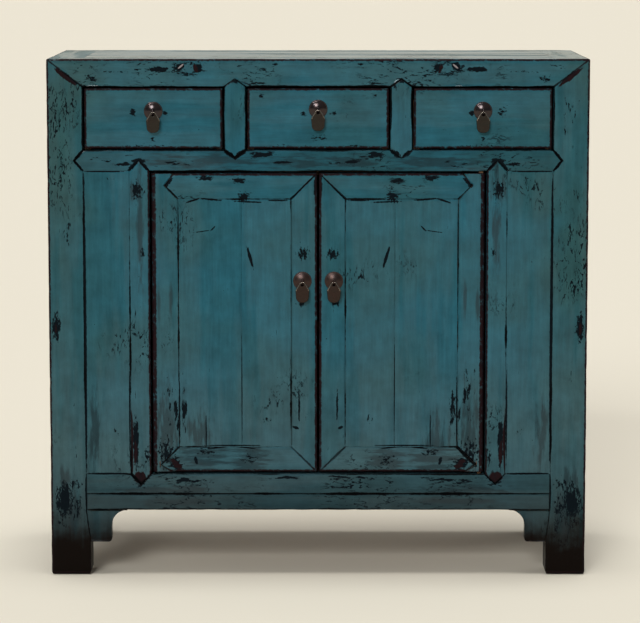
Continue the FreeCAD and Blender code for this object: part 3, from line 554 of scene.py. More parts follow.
        broken = chips.most(red)
        height = weighed(self.heights, brush, fibre, blotches, broken, smudge)
        matt = (dull.rise(*self.dull_step) * self.dull_loss).most(broken * self.worn_loss)
        matt = matt.most(foot * self.worn_loss).most(joint)
        return s.surface({
            "Base Color": colour,
            "Roughness": self.rough + weighed(self.roughs, fibre, blotches, broken),
            "Coat Weight": (1.0 - matt) * gloss,
            "Coat Roughness": self.coat_rough,
            "Specular IOR Level": self.specular,
            "Normal": s.bump(height, self.bump_strength, self.bump_reach),
        })

    def _spot(self, s: Shader, mirror: Value, mark: Mark, tear: Value) -> Value:
        """The outline of one worn place.

        Args:
            s: The material's shader.
            mirror: Coordinates without their signs.
            mark: The worn place.
            tear: The noise that makes its outline ragged.

        Returns:
            1 inside the worn place and 0 outside it.
        """
        sockets = {
            "Vector": mirror,
            "Location": (mark.x, 0.0, mark.z),
            "Rotation": (0.0, math.radians(-mark.turn), 0.0),
            "Scale": (mark.half_width, self.mark_depth, mark.half_height),
        }
        local = s.node("ShaderNodeMapping", {"vector_type": "TEXTURE"}, sockets)
        reach = s.node("ShaderNodeVectorMath", {"operation": "LENGTH"}, {0: local}).part("Value")
        rim = self.smudge_rim if mark.kind is Wear.SMUDGE else self.mark_rim
        edge = reach + tear.centred() * (mark.ragged * self.mark_tear)
        shape = edge.fall(1.0 - rim - mark.sparse, 1.0 + rim - mark.sparse)
        if not mark.hollow:
            return shape
        return shape * edge.rise(mark.hollow - self.hollow_rim, mark.hollow + self.hollow_rim)


@dataclass(frozen=True)
class BareWood:
    """Bare planed wood, darkened with age."""

    pale: Colour = (0.235, 0.130, 0.062)
    dark: Colour = (0.105, 0.050, 0.023)
    pore: Colour = (0.035, 0.016, 0.008)

    rings: Cloud = Cloud(26.0, 3.0, 0.55, 0.4, along=0.045)
    lines: Cloud = Cloud(150.0, 3.0, 0.6, along=0.045)
    pores: Cloud = Cloud(700.0, 1.0, along=0.03)
    grime: Cloud = Cloud(7.0, 4.0, 0.6)

    board_shift: float = 7.0
    figures: Shares = (0.9, 0.5)
    figure_base: float = 0.22
    figure_step: Span = (0.25, 0.78)
    tone: float = 0.55
    tones: Shares = (0.55, 0.35)
    pore_step: Span = (0.60, 0.72)
    pore_share: float = 0.6
    dirts: Shares = (0.5, 0.6)
    dirt_step: Span = (0.62, 1.0)
    dirt_share: float = 0.45
    heights: Shares = (0.5, 0.5)
    pit_step: Span = (0.55, 0.72)
    bump_strength: float = 0.4
    bump_reach: float = 0.0008
    rough: float = 0.60
    grime_rough: float = 0.22
    specular: float = 0.3

    def material(self, name: str, grain: Grain) -> Material:
        """Lays out the wood for one direction of grain.

        Args:
            name: The material's name.
            grain: The axis of the grain.

        Returns:
            The material.
        """
        s = Shader.material(name)
        board, edge = s.attribute("board"), s.attribute("edge")
        where = s.shifted(s.place(), board * self.board_shift)
        rings, lines = s.cloud(where, self.rings, grain), s.cloud(where, self.lines, grain)
        pores, grime = s.cloud(where, self.pores, grain), s.cloud(where, self.grime)
        figure = weighed(self.figures, rings, lines) - self.figure_base
        colour = s.mix(figure.rise(*self.figure_step), self.dark, self.pale)
        colour = s.brighter(colour, self.tone + weighed(self.tones, grime, board))
        colour = s.mix(pores.rise(*self.pore_step) * self.pore_share, colour, self.pore)
        dirt = weighed(self.dirts, edge, grime).rise(*self.dirt_step)
        colour = s.mix(dirt * self.dirt_share, colour, self.pore)
        height = weighed(self.heights, lines, pores.fall(*self.pit_step))
        return s.surface({
            "Base Color": colour,
            "Roughness": self.rough + grime * self.grime_rough,
            "Specular IOR Level": self.specular,
            "Normal": s.bump(height, self.bump_strength, self.bump_reach),
        })


@dataclass(frozen=True)
class Bronze:
    """Dark patinated bronze, rubbed bright along its edges."""

    patina: Colour = (0.060, 0.050, 0.053)
    warm: Colour = (0.090, 0.046, 0.034)
    bright: Colour = (0.60, 0.52, 0.42)

    patches: Cloud = Cloud(140.0, 4.0, 0.6)
    grit: Cloud = Cloud(900.0, 3.0, 0.6)

    warm_step: Span = (0.30, 0.72)
    warm_share: float = 0.5
    cold_share: float = 0.2
    tone: float = 0.5
    rub_tear: float = 0.6
    rub_step: Span = (0.74, 1.0)
    rub_share: float = 0.8
    metal: float = 0.8
    rub_metal: float = 0.2
    patch_rough: float = 0.14
    heights: Shares = (0.6, 0.3)
    bump_strength: float = 0.25
    bump_reach: float = 0.0006

    def material(self, name: str, warmth: float, shade: float, rough: float) -> Material:
        """Lays out the bronze.

        Args:
            name: The material's name.
            warmth: How brown the patina is, from 0 to 1.
            shade: How bright the patina is.
            rough: How blurred its reflections are.

        Returns:
            The material.
        """
        s = Shader.material(name)
        where = s.place()
        edge = s.attribute("edge")
        patches, grit = s.cloud(where, self.patches), s.cloud(where, self.grit)
        browned = patches.rise(*self.warm_step) * self.warm_share + (warmth - self.cold_share)
        colour = s.mix(browned, self.patina, self.warm)
        colour = s.brighter(colour, (self.tone + grit) * shade)
        rubbed = (edge + grit.centred() * self.rub_tear).rise(*self.rub_step)
        colour = s.mix(rubbed * self.rub_share, colour, self.bright)
        height = weighed(self.heights, patches, grit)
        return s.surface({
            "Base Color": colour,
            "Metallic": self.metal + rubbed * self.rub_metal,
            "Roughness": rough + patches * self.patch_rough,
            "Normal": s.bump(height, self.bump_strength, self.bump_reach),
        })


class Timber:
    """One piece of stock while it is shaped, as a mesh in metres."""

    LAYERS = ("edge", "rub", "board")
    SHARP = math.radians(40.0)
    COPLANAR = math.radians(1.0)
    LEVEL = 0.999
    CLOSE = 1e-6
    MERGED = 1e-5
    EVERYWHERE = (-9.0, 9.0)
    BROAD = 1.5
    GROOVE_RIM = 1.01
    GROOVE_WEAR = 0.95
    GROOVE_RIM_WEAR = 0.25
    BOARD_PITCH = 0.381966
    WAVES = 9.0
    BITES = 55.0
    BITES_FROM = Vector((3.1, 1.7, 5.3))

    def __init__(self) -> None:
        """Starts an empty mesh that carries its wear at each vertex."""
        self.mesh = bmesh.new()
        layers = self.mesh.verts.layers.float
        self.edge, self.rub, self.board = (layers.new(name) for name in self.LAYERS)

    @classmethod
    def sawn(cls, outlook: Outlook, outline: Sequence[Point], span: Span) -> "Timber":
        """Cuts an outline through the stock.

        Args:
            outlook: The side that the outline is drawn on.
            outline: The corners, in order.
            span: Where the cut starts and ends.

        Returns:
            The piece.
        """
        piece = cls()
        corners = [piece.mesh.verts.new(outlook.place(a, b, span[0])) for a, b in outline]
        piece.thicken(piece.mesh.faces.new(corners), outlook.place(0.0, 0.0, span[1] - span[0]))
        return piece

    @classmethod
    def block(cls, low: Sequence[float], high: Sequence[float]) -> "Timber":
        """A squared piece between two corners.

        Args:
            low: Its lowest corner.
            high: Its highest corner.

        Returns:
            The piece.
        """
        piece = cls()
        piece.add_block(low, high)
        return piece

    @classmethod
    def copied(cls, node: bpy.types.Object) -> "Timber":
        """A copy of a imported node, with its loose triangles merged into flat faces.

        Args:
            node: The node's object.

        Returns:
            The piece.
        """
        piece = cls()
        mesh = piece.mesh
        mesh.from_mesh(node.data)
        layers = mesh.verts.layers.float
        piece.edge, piece.rub, piece.board = (layers.get(n) or layers.new(n) for n in cls.LAYERS)
        bmesh.ops.remove_doubles(mesh, verts=mesh.verts[:], dist=cls.MERGED)
        bmesh.ops.dissolve_limit(
            mesh, angle_limit=cls.COPLANAR, verts=mesh.verts[:], edges=mesh.edges[:]
        )
        return piece

    def _everything(self) -> list[Element]:
        """All that the mesh holds, for the operators that work on the whole of it."""
        return self.mesh.verts[:] + self.mesh.edges[:] + self.mesh.faces[:]

    def face_outwards(self) -> None:
        """Points every face outwards."""
        bmesh.ops.recalc_face_normals(self.mesh, faces=self.mesh.faces[:])

    def close(self) -> None:
        """Fills the open ends."""
        bounds = [edge for edge in self.mesh.edges if edge.is_boundary]
        bmesh.ops.holes_fill(self.mesh, edges=bounds, sides=0)
        self.face_outwards()

    def thicken(self, face: bmesh.types.BMFace, travel: Vector) -> None:
        """Extrudes a face into a solid.

        Args:
            face: The face.
            travel: How far it goes, and which way.
        """
        grown = bmesh.ops.extrude_face_region(self.mesh, geom=[face])["geom"]
        ends = [part for part in grown if isinstance(part, bmesh.types.BMVert)]
        bmesh.ops.translate(self.mesh, verts=ends, vec=travel)
        self.face_outwards()

    def raise_field(self, inset: float, travel: Vector) -> None:
        """Raises the middle of a face, which leaves a tongue all round it.

        Args:
            inset: The width of the tongue.
            travel: How far the middle goes, which is the way that the face looks.
        """
        self.mesh.normal_update()
        way = travel.normalized()
        shown = [face for face in self.mesh.faces if face.normal.dot(way) > ALONG]
        bmesh.ops.inset_region(self.mesh, faces=shown, thickness=inset)
        grown = bmesh.ops.extrude_discrete_faces(self.mesh, faces=shown)["faces"]
        rim = {vert for face in grown for vert in face.verts}
        bmesh.ops.translate(self.mesh, verts=list(rim), vec=travel)

    def add_block(self, low: Sequence[float], high: Sequence[float]) -> None:
        """Adds a squared block to the piece.

        Args:
            low: Its lowest corner.
            high: Its highest corner.
        """
        middle = (Vector(low) + Vector(high)) / 2
        size = Vector(high) - Vector(low)
        place = Matrix.Translation(middle) @ Matrix.Diagonal((*size, 1.0))
        bmesh.ops.create_cube(self.mesh, size=1.0, matrix=place)

    def add_dowel(
        self, centre: Sequence[float], axis: Vector, radius: float, length: float, sides: int = 24
    ) -> None:
        """Adds a round bar.

        Args:
            centre: The middle of the bar.
            axis: The bar's direction.
            radius: The bar's radius.
            length: The bar's length.
            sides: How many sides the bar has.
        """
        turn = UP.rotation_difference(axis).to_matrix().to_4x4()
        bmesh.ops.create_cone(
            self.mesh, cap_ends=True, segments=sides, radius1=radius, radius2=radius, depth=length,
            matrix=Matrix.Translation(Vector(centre)) @ turn,
        )

    def add_arc(
        self, start: Sequence[float], centre: Sequence[float], angle: float, steps: int
    ) -> list[bmesh.types.BMVert]:
        """Draws an arc in the plane of the front, on an empty mesh.

        Args:
            start: Where it starts.
            centre: Its centre.
            angle: How far it turns.
            steps: How many chords it has.

        Returns:
            Its points, from the lowest upwards.
        """
        first = self.mesh.verts.new(start)
        bmesh.ops.spin(
            self.mesh, geom=[first], cent=centre, axis=BACK, angle=angle, steps=steps,
            use_merge=False,
        )
        return sorted(self.mesh.verts, key=lambda vert: vert.co.z)

    def revolve(
        self, profile: Sequence[bmesh.types.BMVert], centre: Sequence[float], axis: Vector,
        steps: int,
    ) -> None:
        """Turns a profile once round an axis, and merges the seam.

        Args:
            profile: The profile's points, which edges join.
            centre: A point of the axis.
            axis: The axis.
            steps: How many steps the turn has.
        """
        edges = list(dict.fromkeys(edge for vert in profile for edge in vert.link_edges))
        bmesh.ops.spin(
            self.mesh, geom=[*profile, *edges], cent=centre, axis=axis, angle=2 * math.pi,
            steps=steps, use_merge=True,
        )
        bmesh.ops.remove_doubles(self.mesh, verts=self.mesh.verts[:], dist=self.CLOSE)

    def saw_off(self, point: Sequence[float], normal: Sequence[float]) -> None:
        """Takes off what lies beyond a plane, and closes the cut.

        Args:
            point: A point of the plane.
            normal: The way to what is taken off.
        """
        bmesh.ops.bisect_plane(
            self.mesh, geom=self._everything(), plane_co=point, plane_no=normal, clear_outer=True,
            dist=self.CLOSE,
        )
        self.close()

    def ease(
        self, radius: float, rub: float, wanted: Optional[EdgeTest] = None, segments: int = 3,
        worn: float = 1.0,
    ) -> None:
        """Rounds the sharp edges that pass a test, and marks them as worn.

        Args:
            radius: The rounding.
            rub: 1 where hands rub the edge bare, 0 where it is a joint.
            wanted: A test on an edge's middle and direction. All sharp edges pass without it.
            segments: How many facets the rounding has.
            worn: How worn the edge is, from 0 to 1.
        """
        chosen = []
        for edge in self.mesh.edges:
            if not edge.is_manifold or edge.calc_face_angle() < self.SHARP:
                continue
            start, end = (v.co for v in edge.verts)
            if wanted is None or wanted((start + end) / 2, (end - start).normalized()):
                chosen.append(edge)
        made = bmesh.ops.bevel(
            self.mesh, geom=chosen, offset=radius, offset_type="OFFSET", segments=segments,
            profile=0.5, affect="EDGES", material=-1, clamp_overlap=True,
        )
        for vert in made["verts"]:
            vert[self.edge] = worn
            vert[self.rub] = max(vert[self.rub], rub)

    def border(self, width: float) -> None:
        """Insets a border on each broad face, so that the wear fades out over it.

        Args:
            width: The border's width.
        """
        mesh = self.mesh
        bmesh.ops.dissolve_degenerate(mesh, dist=self.CLOSE, edges=mesh.edges[:])
        least = self.BROAD * width
        broad = [f for f in mesh.faces if f.calc_area() > least * f.calc_perimeter()]
        bmesh.ops.inset_individual(mesh, faces=broad, thickness=width, use_even_offset=True)
        for face in broad:
            for vert in face.verts:
                vert[self.edge] = 0.0

    def settle(self) -> None:
        """Clears the wear where the surface is flat, so that it fades out over one cell."""
        self.mesh.normal_update()
        for vert in self.mesh.verts:
            first = vert.link_faces[0].normal
            if all(first.dot(face.normal) > self.LEVEL for face in vert.link_faces):
                vert[self.edge] = 0.0

    def cut_across(self, axis: int, at: float) -> None:
        """Draws a line of new edges round the piece, square to an axis.

        Args:
            axis: The number of the axis.
            at: The line's place on it.
        """
        normal = Vector((0.0, 0.0, 0.0))
        normal[axis] = 1.0
        bmesh.ops.bisect_plane(
            self.mesh, geom=self._everything(), plane_co=normal * at, plane_no=normal,
            dist=self.CLOSE,
        )

    def score(
        self, axis: int, at: float, facing: int, face: float, depth: float,
        reach: Span = EVERYWHERE,
    ) -> None:
        """Cuts a fine groove into a face, as between two boards.

        Args:
            axis: The axis that the groove's place is measured along.
            at: The groove's place.
            facing: The axis that the face looks along.
            face: The face's place on that axis.
            depth: How far the groove goes in, with a sign.
            reach: Where the groove starts and ends along the third axis.
        """
        along = sum(range(3)) - axis - facing
        half = abs(depth)
        for shift in (-half, 0.0, half):
            self.cut_across(axis, at + shift)
        for vert in self.mesh.verts:
            off = abs(vert.co[axis] - at)
            within = off < half * self.GROOVE_RIM and reach[0] <= vert.co[along] <= reach[1]
            if not (within and near(vert.co[facing], face)):
                continue
            deep = off < half / 2
            vert[self.edge] = self.GROOVE_WEAR if deep else self.GROOVE_RIM_WEAR
            if deep:
                vert.co[facing] += depth

    def divide(self, step: float) -> None:
        """Cuts the faces into a grid for the hand-made unevenness.

        Args:
            step: The least width of a cell.
        """
        for axis in range(3):
            places = [v.co[axis] for v in self.mesh.verts]
            low, high = min(places), max(places)
            count = int((high - low) / step)
            for i in range(1, count):
                self.cut_across(axis, low + (high - low) * i / count)

    def twin(self) -> None:
        """Adds the mirror image on the other side of the centre line."""
        bmesh.ops.mirror(
            self.mesh, geom=self._everything(), matrix=Matrix.Identity(4), merge_dist=self.MERGED,
            axis="X",
        )
        self.face_outwards()

    def flip(self, axis: int, about: float = 0.0) -> None:
        """Turns the piece into its mirror image.

        Args:
            axis: The number of the axis that is turned round.
            about: Where the mirror stands on it.
        """
        size, shift = Vector((1.0, 1.0, 1.0)), Vector((0.0, 0.0, 0.0))
        size[axis], shift[axis] = -1.0, 2 * about
        bmesh.ops.scale(self.mesh, verts=self.mesh.verts[:], vec=size)
        bmesh.ops.translate(self.mesh, verts=self.mesh.verts[:], vec=shift)
        self.face_outwards()

    def number_boards(self) -> None:
        """Gives each separate board a number of its own, for its tone and figure."""
        numbered = set()
        count = 0
        for start in self.mesh.verts:
            if start in numbered:
                continue
            count += 1
            front = [start]
            numbered.add(start)
            while front:
                vert = front.pop()
                vert[self.board] = (count * self.BOARD_PITCH) % 1.0
                others = [edge.other_vert(vert) for edge in vert.link_edges]
                fresh = [other for other in others if other not in numbered]
                numbered.update(fresh)
                front += fresh

    def weather(self, wave: float, bite: float) -> None:
        """Makes the faces slightly uneven and nibbles at the worn edges, inwards only.

        Args:
            wave: The depth of the unevenness.
            bite: The depth of the wear at the edges.
        """
        self.mesh.normal_update()
        moves = []
        for vert in self.mesh.verts:
            slow = 0.5 + 0.5 * noise.noise(vert.co * self.WAVES)
            quick = max(0.0, noise.noise(vert.co * self.BITES + self.BITES_FROM))
            moves.append(vert.normal * -(wave * slow + bite * vert[self.edge] * quick))
        for vert, move in zip(self.mesh.verts, moves):
            vert.co += move

    def hand_over(
        self, name: str, materials: Sequence[Material], inside: Optional[FaceTest] = None,
        smooth: bool = True,
    ) -> bpy.types.Object:
        """Ends the shaping and makes the object.

        Args:
            name: The object's name.
            materials: The finish, and behind it that of the inside.
            inside: A test on a face's normal and middle, true where the inside's finish shows.
            smooth: Whether the shading runs on over the edges.

        Returns:
            The object.
        """
        self.mesh.normal_update()
        for face in self.mesh.faces:
            face.smooth = smooth
            hidden = inside is not None and inside(face.normal, face.calc_center_median())
            face.material_index = 1 if hidden else 0
        data = bpy.data.meshes.new(name)
        self.mesh.to_mesh(data)
        self.mesh.free()
        for material in materials:
            data.materials.append(material)
        made = bpy.data.objects.new(name, data)
        bpy.context.scene.collection.objects.link(made)
        return made


def near(a: float, b: float) -> bool:
    """True for two lengths that are the same but for rounding."""
    return abs(a - b) < SAME


def towards_centre(normal: Vector, at: Vector) -> float:
    """How squarely a face looks towards the centre line, from -1 to 1."""
    return -normal.x * math.copysign(1.0, at.x)


def looks_inwards(normal: Vector, at: Vector) -> bool:
    """True for a face that looks towards the centre line."""
    return towards_centre(normal, at) > FACING


def looks_back(normal: Vector, at: Vector) -> bool:
    """True for a face that looks to the back."""
    return normal.y > FACING


def looks_down(normal: Vector, at: Vector) -> bool:
    """True for a face that looks down."""
    return normal.z < -FACING


def dress(piece: bpy.types.Object, body: str, nodes: Sequence[str]) -> bpy.types.Object:
    """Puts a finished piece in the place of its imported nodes.

    Args:
        piece: The piece.
        body: The body that it moves with.
        nodes: The nodes that it stands for.

    Returns:
        The piece.
    """
    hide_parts(*nodes)
    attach(piece, body)
    LOG.info("%s on %s: %d faces", piece.name, body, len(piece.data.polygons))
    return piece


@dataclass(frozen=True)
class Lines:
    """The lines that the whole front is set out from."""

    half: float
    front: float
    back: float
    top: float
    top_rail: float
    middle_top: float
    middle_bottom: float
    bottom_top: float
    bottom_rail: float
    apron: float
    bracket: float
    post: float = 0.064
    tongue: float = 0.008

    @classmethod
    def read(cls) -> "Lines":
        """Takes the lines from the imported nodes.

        Returns:
            The lines.
        """
        post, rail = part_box("front_left_post"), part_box("top_front_rail")
        return cls(
            half=-post[0].x,
            front=post[0].y,
            back=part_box("rear_posts")[1].y,
            top=rail[1].z,
            top_rail=rail[0].z,
            middle_top=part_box("middle_rail")[1].z,
            middle_bottom=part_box("fixed_front_panels")[1].z - cls.tongue,
            bottom_top=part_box("bottom_rail")[1].z,
            bottom_rail=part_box("bottom_rail")[0].z,
            apron=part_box("front_apron")[0].z,
            bracket=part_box("apron_brackets")[0].z,
        )

    @property
    def inner(self) -> float:
        """The distance of a post's inner face from the centre line."""
        return self.half - self.post


chip = partial(Mark, Wear.CHIP)
stroke = partial(Mark, Wear.STROKE)
bare = partial(Mark, Wear.BARE)
smudge = partial(Mark, Wear.SMUDGE)
# Makes a painted glint, a pale spot that stands in for a highlight.
pale = partial(Mark, Wear.PALE)

MITRE_MARKS = (
    bare(0.446, 0.895, 0.024, 0.004, 38.0, 0.5),
    chip(0.443, 0.896, 0.034, 0.0055, 38.0, 0.9, 0.4),
)
RAIL_END_MARKS = (
    chip(0.424, 0.7565, 0.0125, 0.0028, -50.0, 0.7),
    chip(0.424, 0.7375, 0.0125, 0.0026, 50.0, 0.7),
)
POINT_MARKS = (
    chip(0.157, 0.759, 0.012, 0.0036, 36.0, 0.8),
    chip(0.137, 0.76, 0.012, 0.0046, -36.0, 0.8),
    chip(0.328, 0.738, 0.013, 0.0036, -46.0, 0.8),
    chip(0.308, 0.738, 0.013, 0.003, 46.0, 0.8),
    bare(0.319, 0.178, 0.0105, 0.011, 45.0, 0.5),
    chip(0.318, 0.174, 0.019, 0.019, 0.0, 1.4, 0.5),
)
PANEL_CRACKS = (
    chip(0.222, 0.6765, 0.013, 0.0018, -18.0, 0.7),
    chip(0.1915, 0.6785, 0.021, 0.0018, 5.0, 0.7),
    chip(0.122, 0.674, 0.026, 0.0014, 2.0, 0.8),
    chip(0.0716, 0.6765, 0.018, 0.0014, 0.0, 0.8),
    chip(0.132, 0.683, 0.0125, 0.0105, 0.0, 1.4, 0.25),
    chip(0.2485, 0.582, 0.0013, 0.088, 0.0, 0.5),
    chip(0.2478, 0.3, 0.0013, 0.066, 0.0, 0.6),
)
DOOR_CORNER_MARKS = (
    chip(0.034, 0.693, 0.028, 0.0016, -46.0, 1.0, 0.1),
    chip(0.265, 0.7085, 0.0105, 0.0028, -48.0, 0.8),
    chip(0.27, 0.703, 0.0045, 0.003, 0.0, 1.0),
    chip(0.258, 0.205, 0.02, 0.012, 40.0, 1.5, 0.3),
)
POST_JOINT_MARKS = (
    chip(0.4154, 0.459, 0.0027, 0.276, 0.0, 0.35),
)
POST_MARKS = (
    *MITRE_MARKS,
    *RAIL_END_MARKS,
    *POST_JOINT_MARKS,
    chip(0.467, 0.45, 0.0062, 0.022, 0.0, 1.3),
    bare(0.4675, 0.447, 0.0022, 0.011, 0.0, 0.8),
    chip(0.467, 0.449, 0.011, 0.029, 0.0, 1.4, 0.5),
    stroke(0.4555, 0.136, 0.0105, 0.024, 0.0, 1.2),
    chip(0.4165, 0.15, 0.0018, 0.034, 0.0, 0.6),
    chip(0.385, 0.118, 0.031, 0.0014, 0.0, 0.4),
    chip(0.4555, 0.136, 0.0155, 0.031, 0.0, 0.8, 0.0, 0.72),
    chip(0.437, 0.165, 0.021, 0.015, 0.0, 1.7, 0.7),
    chip(0.433, 0.122, 0.017, 0.038, 0.0, 1.7, 0.75),
    chip(0.46, 0.096, 0.018, 0.02, 0.0, 1.7, 0.9),
    smudge(0.452, 0.176, 0.013, 0.02, 0.0, 1.6, 0.2),
    smudge(0.44, 0.112, 0.012, 0.04, 0.0, 1.6, 0.1),
    stroke(0.446, 0.835, 0.036, 0.075, 0.0, 1.9, 1.2),
    stroke(0.46, 0.71, 0.024, 0.1, 0.0, 1.9, 1.25),
    stroke(0.446, 0.615, 0.009, 0.035, 0.0, 1.9, 0.9),
)
TOP_RAIL_MARKS = (
    *MITRE_MARKS,
    chip(0.229, 0.91, 0.025, 0.0115, 0.0, 1.1, 0.0, 0.66),
    chip(0.21, 0.911, 0.006, 0.011, 0.0, 1.0, 0.1),
    bare(0.216, 0.909, 0.0035, 0.008, -20.0, 0.8),
    chip(0.244, 0.913, 0.0085, 0.006, -36.0, 0.8),
    # Painted glint on the knot's rim.
    pale(0.242, 0.914, 0.0062, 0.0015, -40.0, 0.35),
    chip(0.281, 0.9085, 0.018, 0.0046, 0.0, 0.9),
    chip(0.402, 0.892, 0.013, 0.008, 0.0, 1.7, 0.5),
    chip(0.36, 0.904, 0.07, 0.004, 0.0, 1.5, 0.9),
    chip(0.42, 0.915, 0.03, 0.007, 0.0, 1.7, 1.0),
    chip(0.105, 0.884, 0.024, 0.003, 0.0, 1.4, 0.5),
    chip(0.076, 0.917, 0.006, 0.003, 0.0, 1.4, 0.3),
)
RAIL_MARKS = (
    *RAIL_END_MARKS,
    *POINT_MARKS,
    chip(0.38, 0.728, 0.036, 0.0014, 0.0, 0.5),
    chip(0.376, 0.185, 0.04, 0.0017, 0.0, 0.4),
    chip(0.2, 0.148, 0.216, 0.0013, 0.0, 0.3),
    chip(0.385, 0.118, 0.031, 0.0014, 0.0, 0.4),
    stroke(0.102, 0.758, 0.018, 0.0065, 0.0, 1.3, 0.1),
    chip(0.346, 0.741, 0.013, 0.0036, 0.0, 1.2, 0.1),
    chip(0.3175, 0.747, 0.012, 0.004, 0.0, 0.9),
    stroke(0.25, 0.742, 0.05, 0.008, 0.0, 1.8, 0.8),
    stroke(0.05, 0.744, 0.05, 0.006, 0.0, 1.8, 0.8),
    stroke(0.38, 0.748, 0.022, 0.009, 0.0, 1.8, 0.8),
    smudge(0.2, 0.746, 0.11, 0.013, 0.0, 1.8, 0.3),
    smudge(0.05, 0.746, 0.07, 0.012, 0.0, 1.8, 0.3),
    stroke(0.235, 0.172, 0.06, 0.01, 0.0, 1.8, 0.75),
    stroke(0.06, 0.178, 0.06, 0.006, 0.0, 1.8, 0.75),
    smudge(0.27, 0.155, 0.07, 0.008, 0.0, 1.8, 0.2),
    smudge(0.25, 0.134, 0.06, 0.007),
)
JAMB_MARKS = (
    *POINT_MARKS,
    chip(0.321, 0.695, 0.012, 0.018, 0.0, 1.5, 0.3),
    smudge(0.316, 0.63, 0.0065, 0.095, 0.0, 1.6, 0.2),
    smudge(0.322, 0.69, 0.012, 0.026, 0.0, 1.6, 0.2),
    chip(0.312, 0.585, 0.006, 0.012, 0.0, 1.6, 0.6),
    bare(0.3345, 0.24, 0.0034, 0.06, 0.0, 0.5),
    chip(0.3265, 0.242, 0.0048, 0.042, 0.0, 0.8),
    bare(0.3275, 0.224, 0.0034, 0.022, 0.0, 0.6),
    chip(0.306, 0.215, 0.008, 0.032, 0.0, 1.6, 0.7),
    chip(0.147, 0.888, 0.014, 0.005, 0.0, 1.3, 0.4),
)
PANEL_MARKS = (
    *POST_JOINT_MARKS,
    smudge(0.401, 0.258, 0.012, 0.065, 0.0, 1.7, 0.3),
    chip(0.36, 0.262, 0.01, 0.008, 40.0, 1.8, 0.9),
    chip(0.37, 0.715, 0.02, 0.007, 0.0, 1.8, 1.0),
    chip(0.38, 0.728, 0.036, 0.0014, 0.0, 0.5),
    chip(0.376, 0.185, 0.04, 0.0017, 0.0, 0.4),
    chip(0.4155, 0.45, 0.0014, 0.2, 0.0, 0.4),
    chip(0.337, 0.29, 0.0014, 0.09, 0.0, 0.5),
)
STILE_MARKS = (
    *PANEL_CRACKS,
    *DOOR_CORNER_MARKS,
    chip(0.026, 0.581, 0.0115, 0.011, 0.0, 1.7, 0.25),
    chip(0.04, 0.2685, 0.0056, 0.0026, 20.0, 0.7),
    chip(0.034, 0.307, 0.0017, 0.027, 0.0, 1.0),
    stroke(0.253, 0.294, 0.008, 0.034, 0.0, 1.8, 0.6),
    chip(0.272, 0.222, 0.022, 0.034, 0.0, 1.8, 0.55),
    stroke(0.266, 0.325, 0.018, 0.075, 0.0, 1.8, 0.9),
    smudge(0.272, 0.26, 0.02, 0.08, 0.0, 1.7, 0.2),
    chip(0.03, 0.492, 0.01, 0.007, 0.0, 1.8, 0.5),
    chip(0.005, 0.7, 0.003, 0.02, 0.0, 1.2, 0.2),
    smudge(0.284, 0.49, 0.0034, 0.026, 0.0, 0.8),
    smudge(0.262, 0.5, 0.003, 0.026, 0.0, 0.8),
)
DOOR_RAIL_MARKS = (
    *PANEL_CRACKS,
    *DOOR_CORNER_MARKS,
    chip(0.2, 0.7165, 0.015, 0.0048, 0.0, 1.4, 0.15),
    chip(0.141, 0.712, 0.015, 0.005, 0.0, 1.4, 0.2),
    smudge(0.122, 0.21, 0.028, 0.024, 0.0, 1.7, 0.0),
    smudge(0.215, 0.212, 0.05, 0.026, 0.0, 1.8, 0.2),
    chip(0.122, 0.21, 0.028, 0.022, 0.0, 1.7, 0.8),
    chip(0.2, 0.224, 0.026, 0.011, 0.0, 1.7, 0.7),
    chip(0.219, 0.209, 0.003, 0.0065, -15.0, 0.7),
    bare(0.253, 0.201, 0.012, 0.0052, 40.0, 0.9),
    chip(0.176, 0.2325, 0.022, 0.0013, -7.0, 0.35),
    chip(0.132, 0.2325, 0.024, 0.0013, 7.0, 0.35),
)
DOOR_PANEL_MARKS = (
    *PANEL_CRACKS,
    chip(0.121, 0.575, 0.02, 0.0027, 74.0, 0.6),
    chip(0.2006, 0.256, 0.0012, 0.036, 0.0, 0.5),
    chip(0.205, 0.6215, 0.018, 0.001, -8.0, 0.9, 0.1),
    chip(0.187, 0.6265, 0.008, 0.0013, -45.0, 0.9, 0.1),
    chip(0.092, 0.283, 0.01, 0.01, 40.0, 1.8, 0.8),
    chip(0.153, 0.2362, 0.052, 0.0013, 0.0, 0.35),
    chip(0.1362, 0.335, 0.0009, 0.095, 0.0, 0.5),
    stroke(0.24, 0.3, 0.007, 0.054, 0.0, 1.8, 0.7),
    smudge(0.21, 0.258, 0.024, 0.04, 0.0, 1.7, 0.3),
)
DRAWER_MARKS = (
    chip(0.326, 0.833, 0.009, 0.01, 0.0, 1.7, 0.5),
    chip(0.2712, 0.831, 0.005, 0.0055, 0.0, 1.2, 0.2),
    chip(0.2925, 0.786, 0.007, 0.007, 0.0, 1.7, 0.7),
    chip(0.026, 0.831, 0.007, 0.005, 0.0, 1.6, 0.4),
    chip(0.006, 0.788, 0.009, 0.007, 0.0, 1.7, 0.5),
    chip(0.101, 0.862, 0.007, 0.005, 0.0, 1.6, 0.5),
    chip(0.29, 0.774, 0.115, 0.006, 0.0, 1.8, 1.1),
    chip(0.06, 0.774, 0.06, 0.006, 0.0, 1.8, 1.1),
    chip(0.225, 0.8, 0.022, 0.018, 0.0, 1.9, 1.4),
)


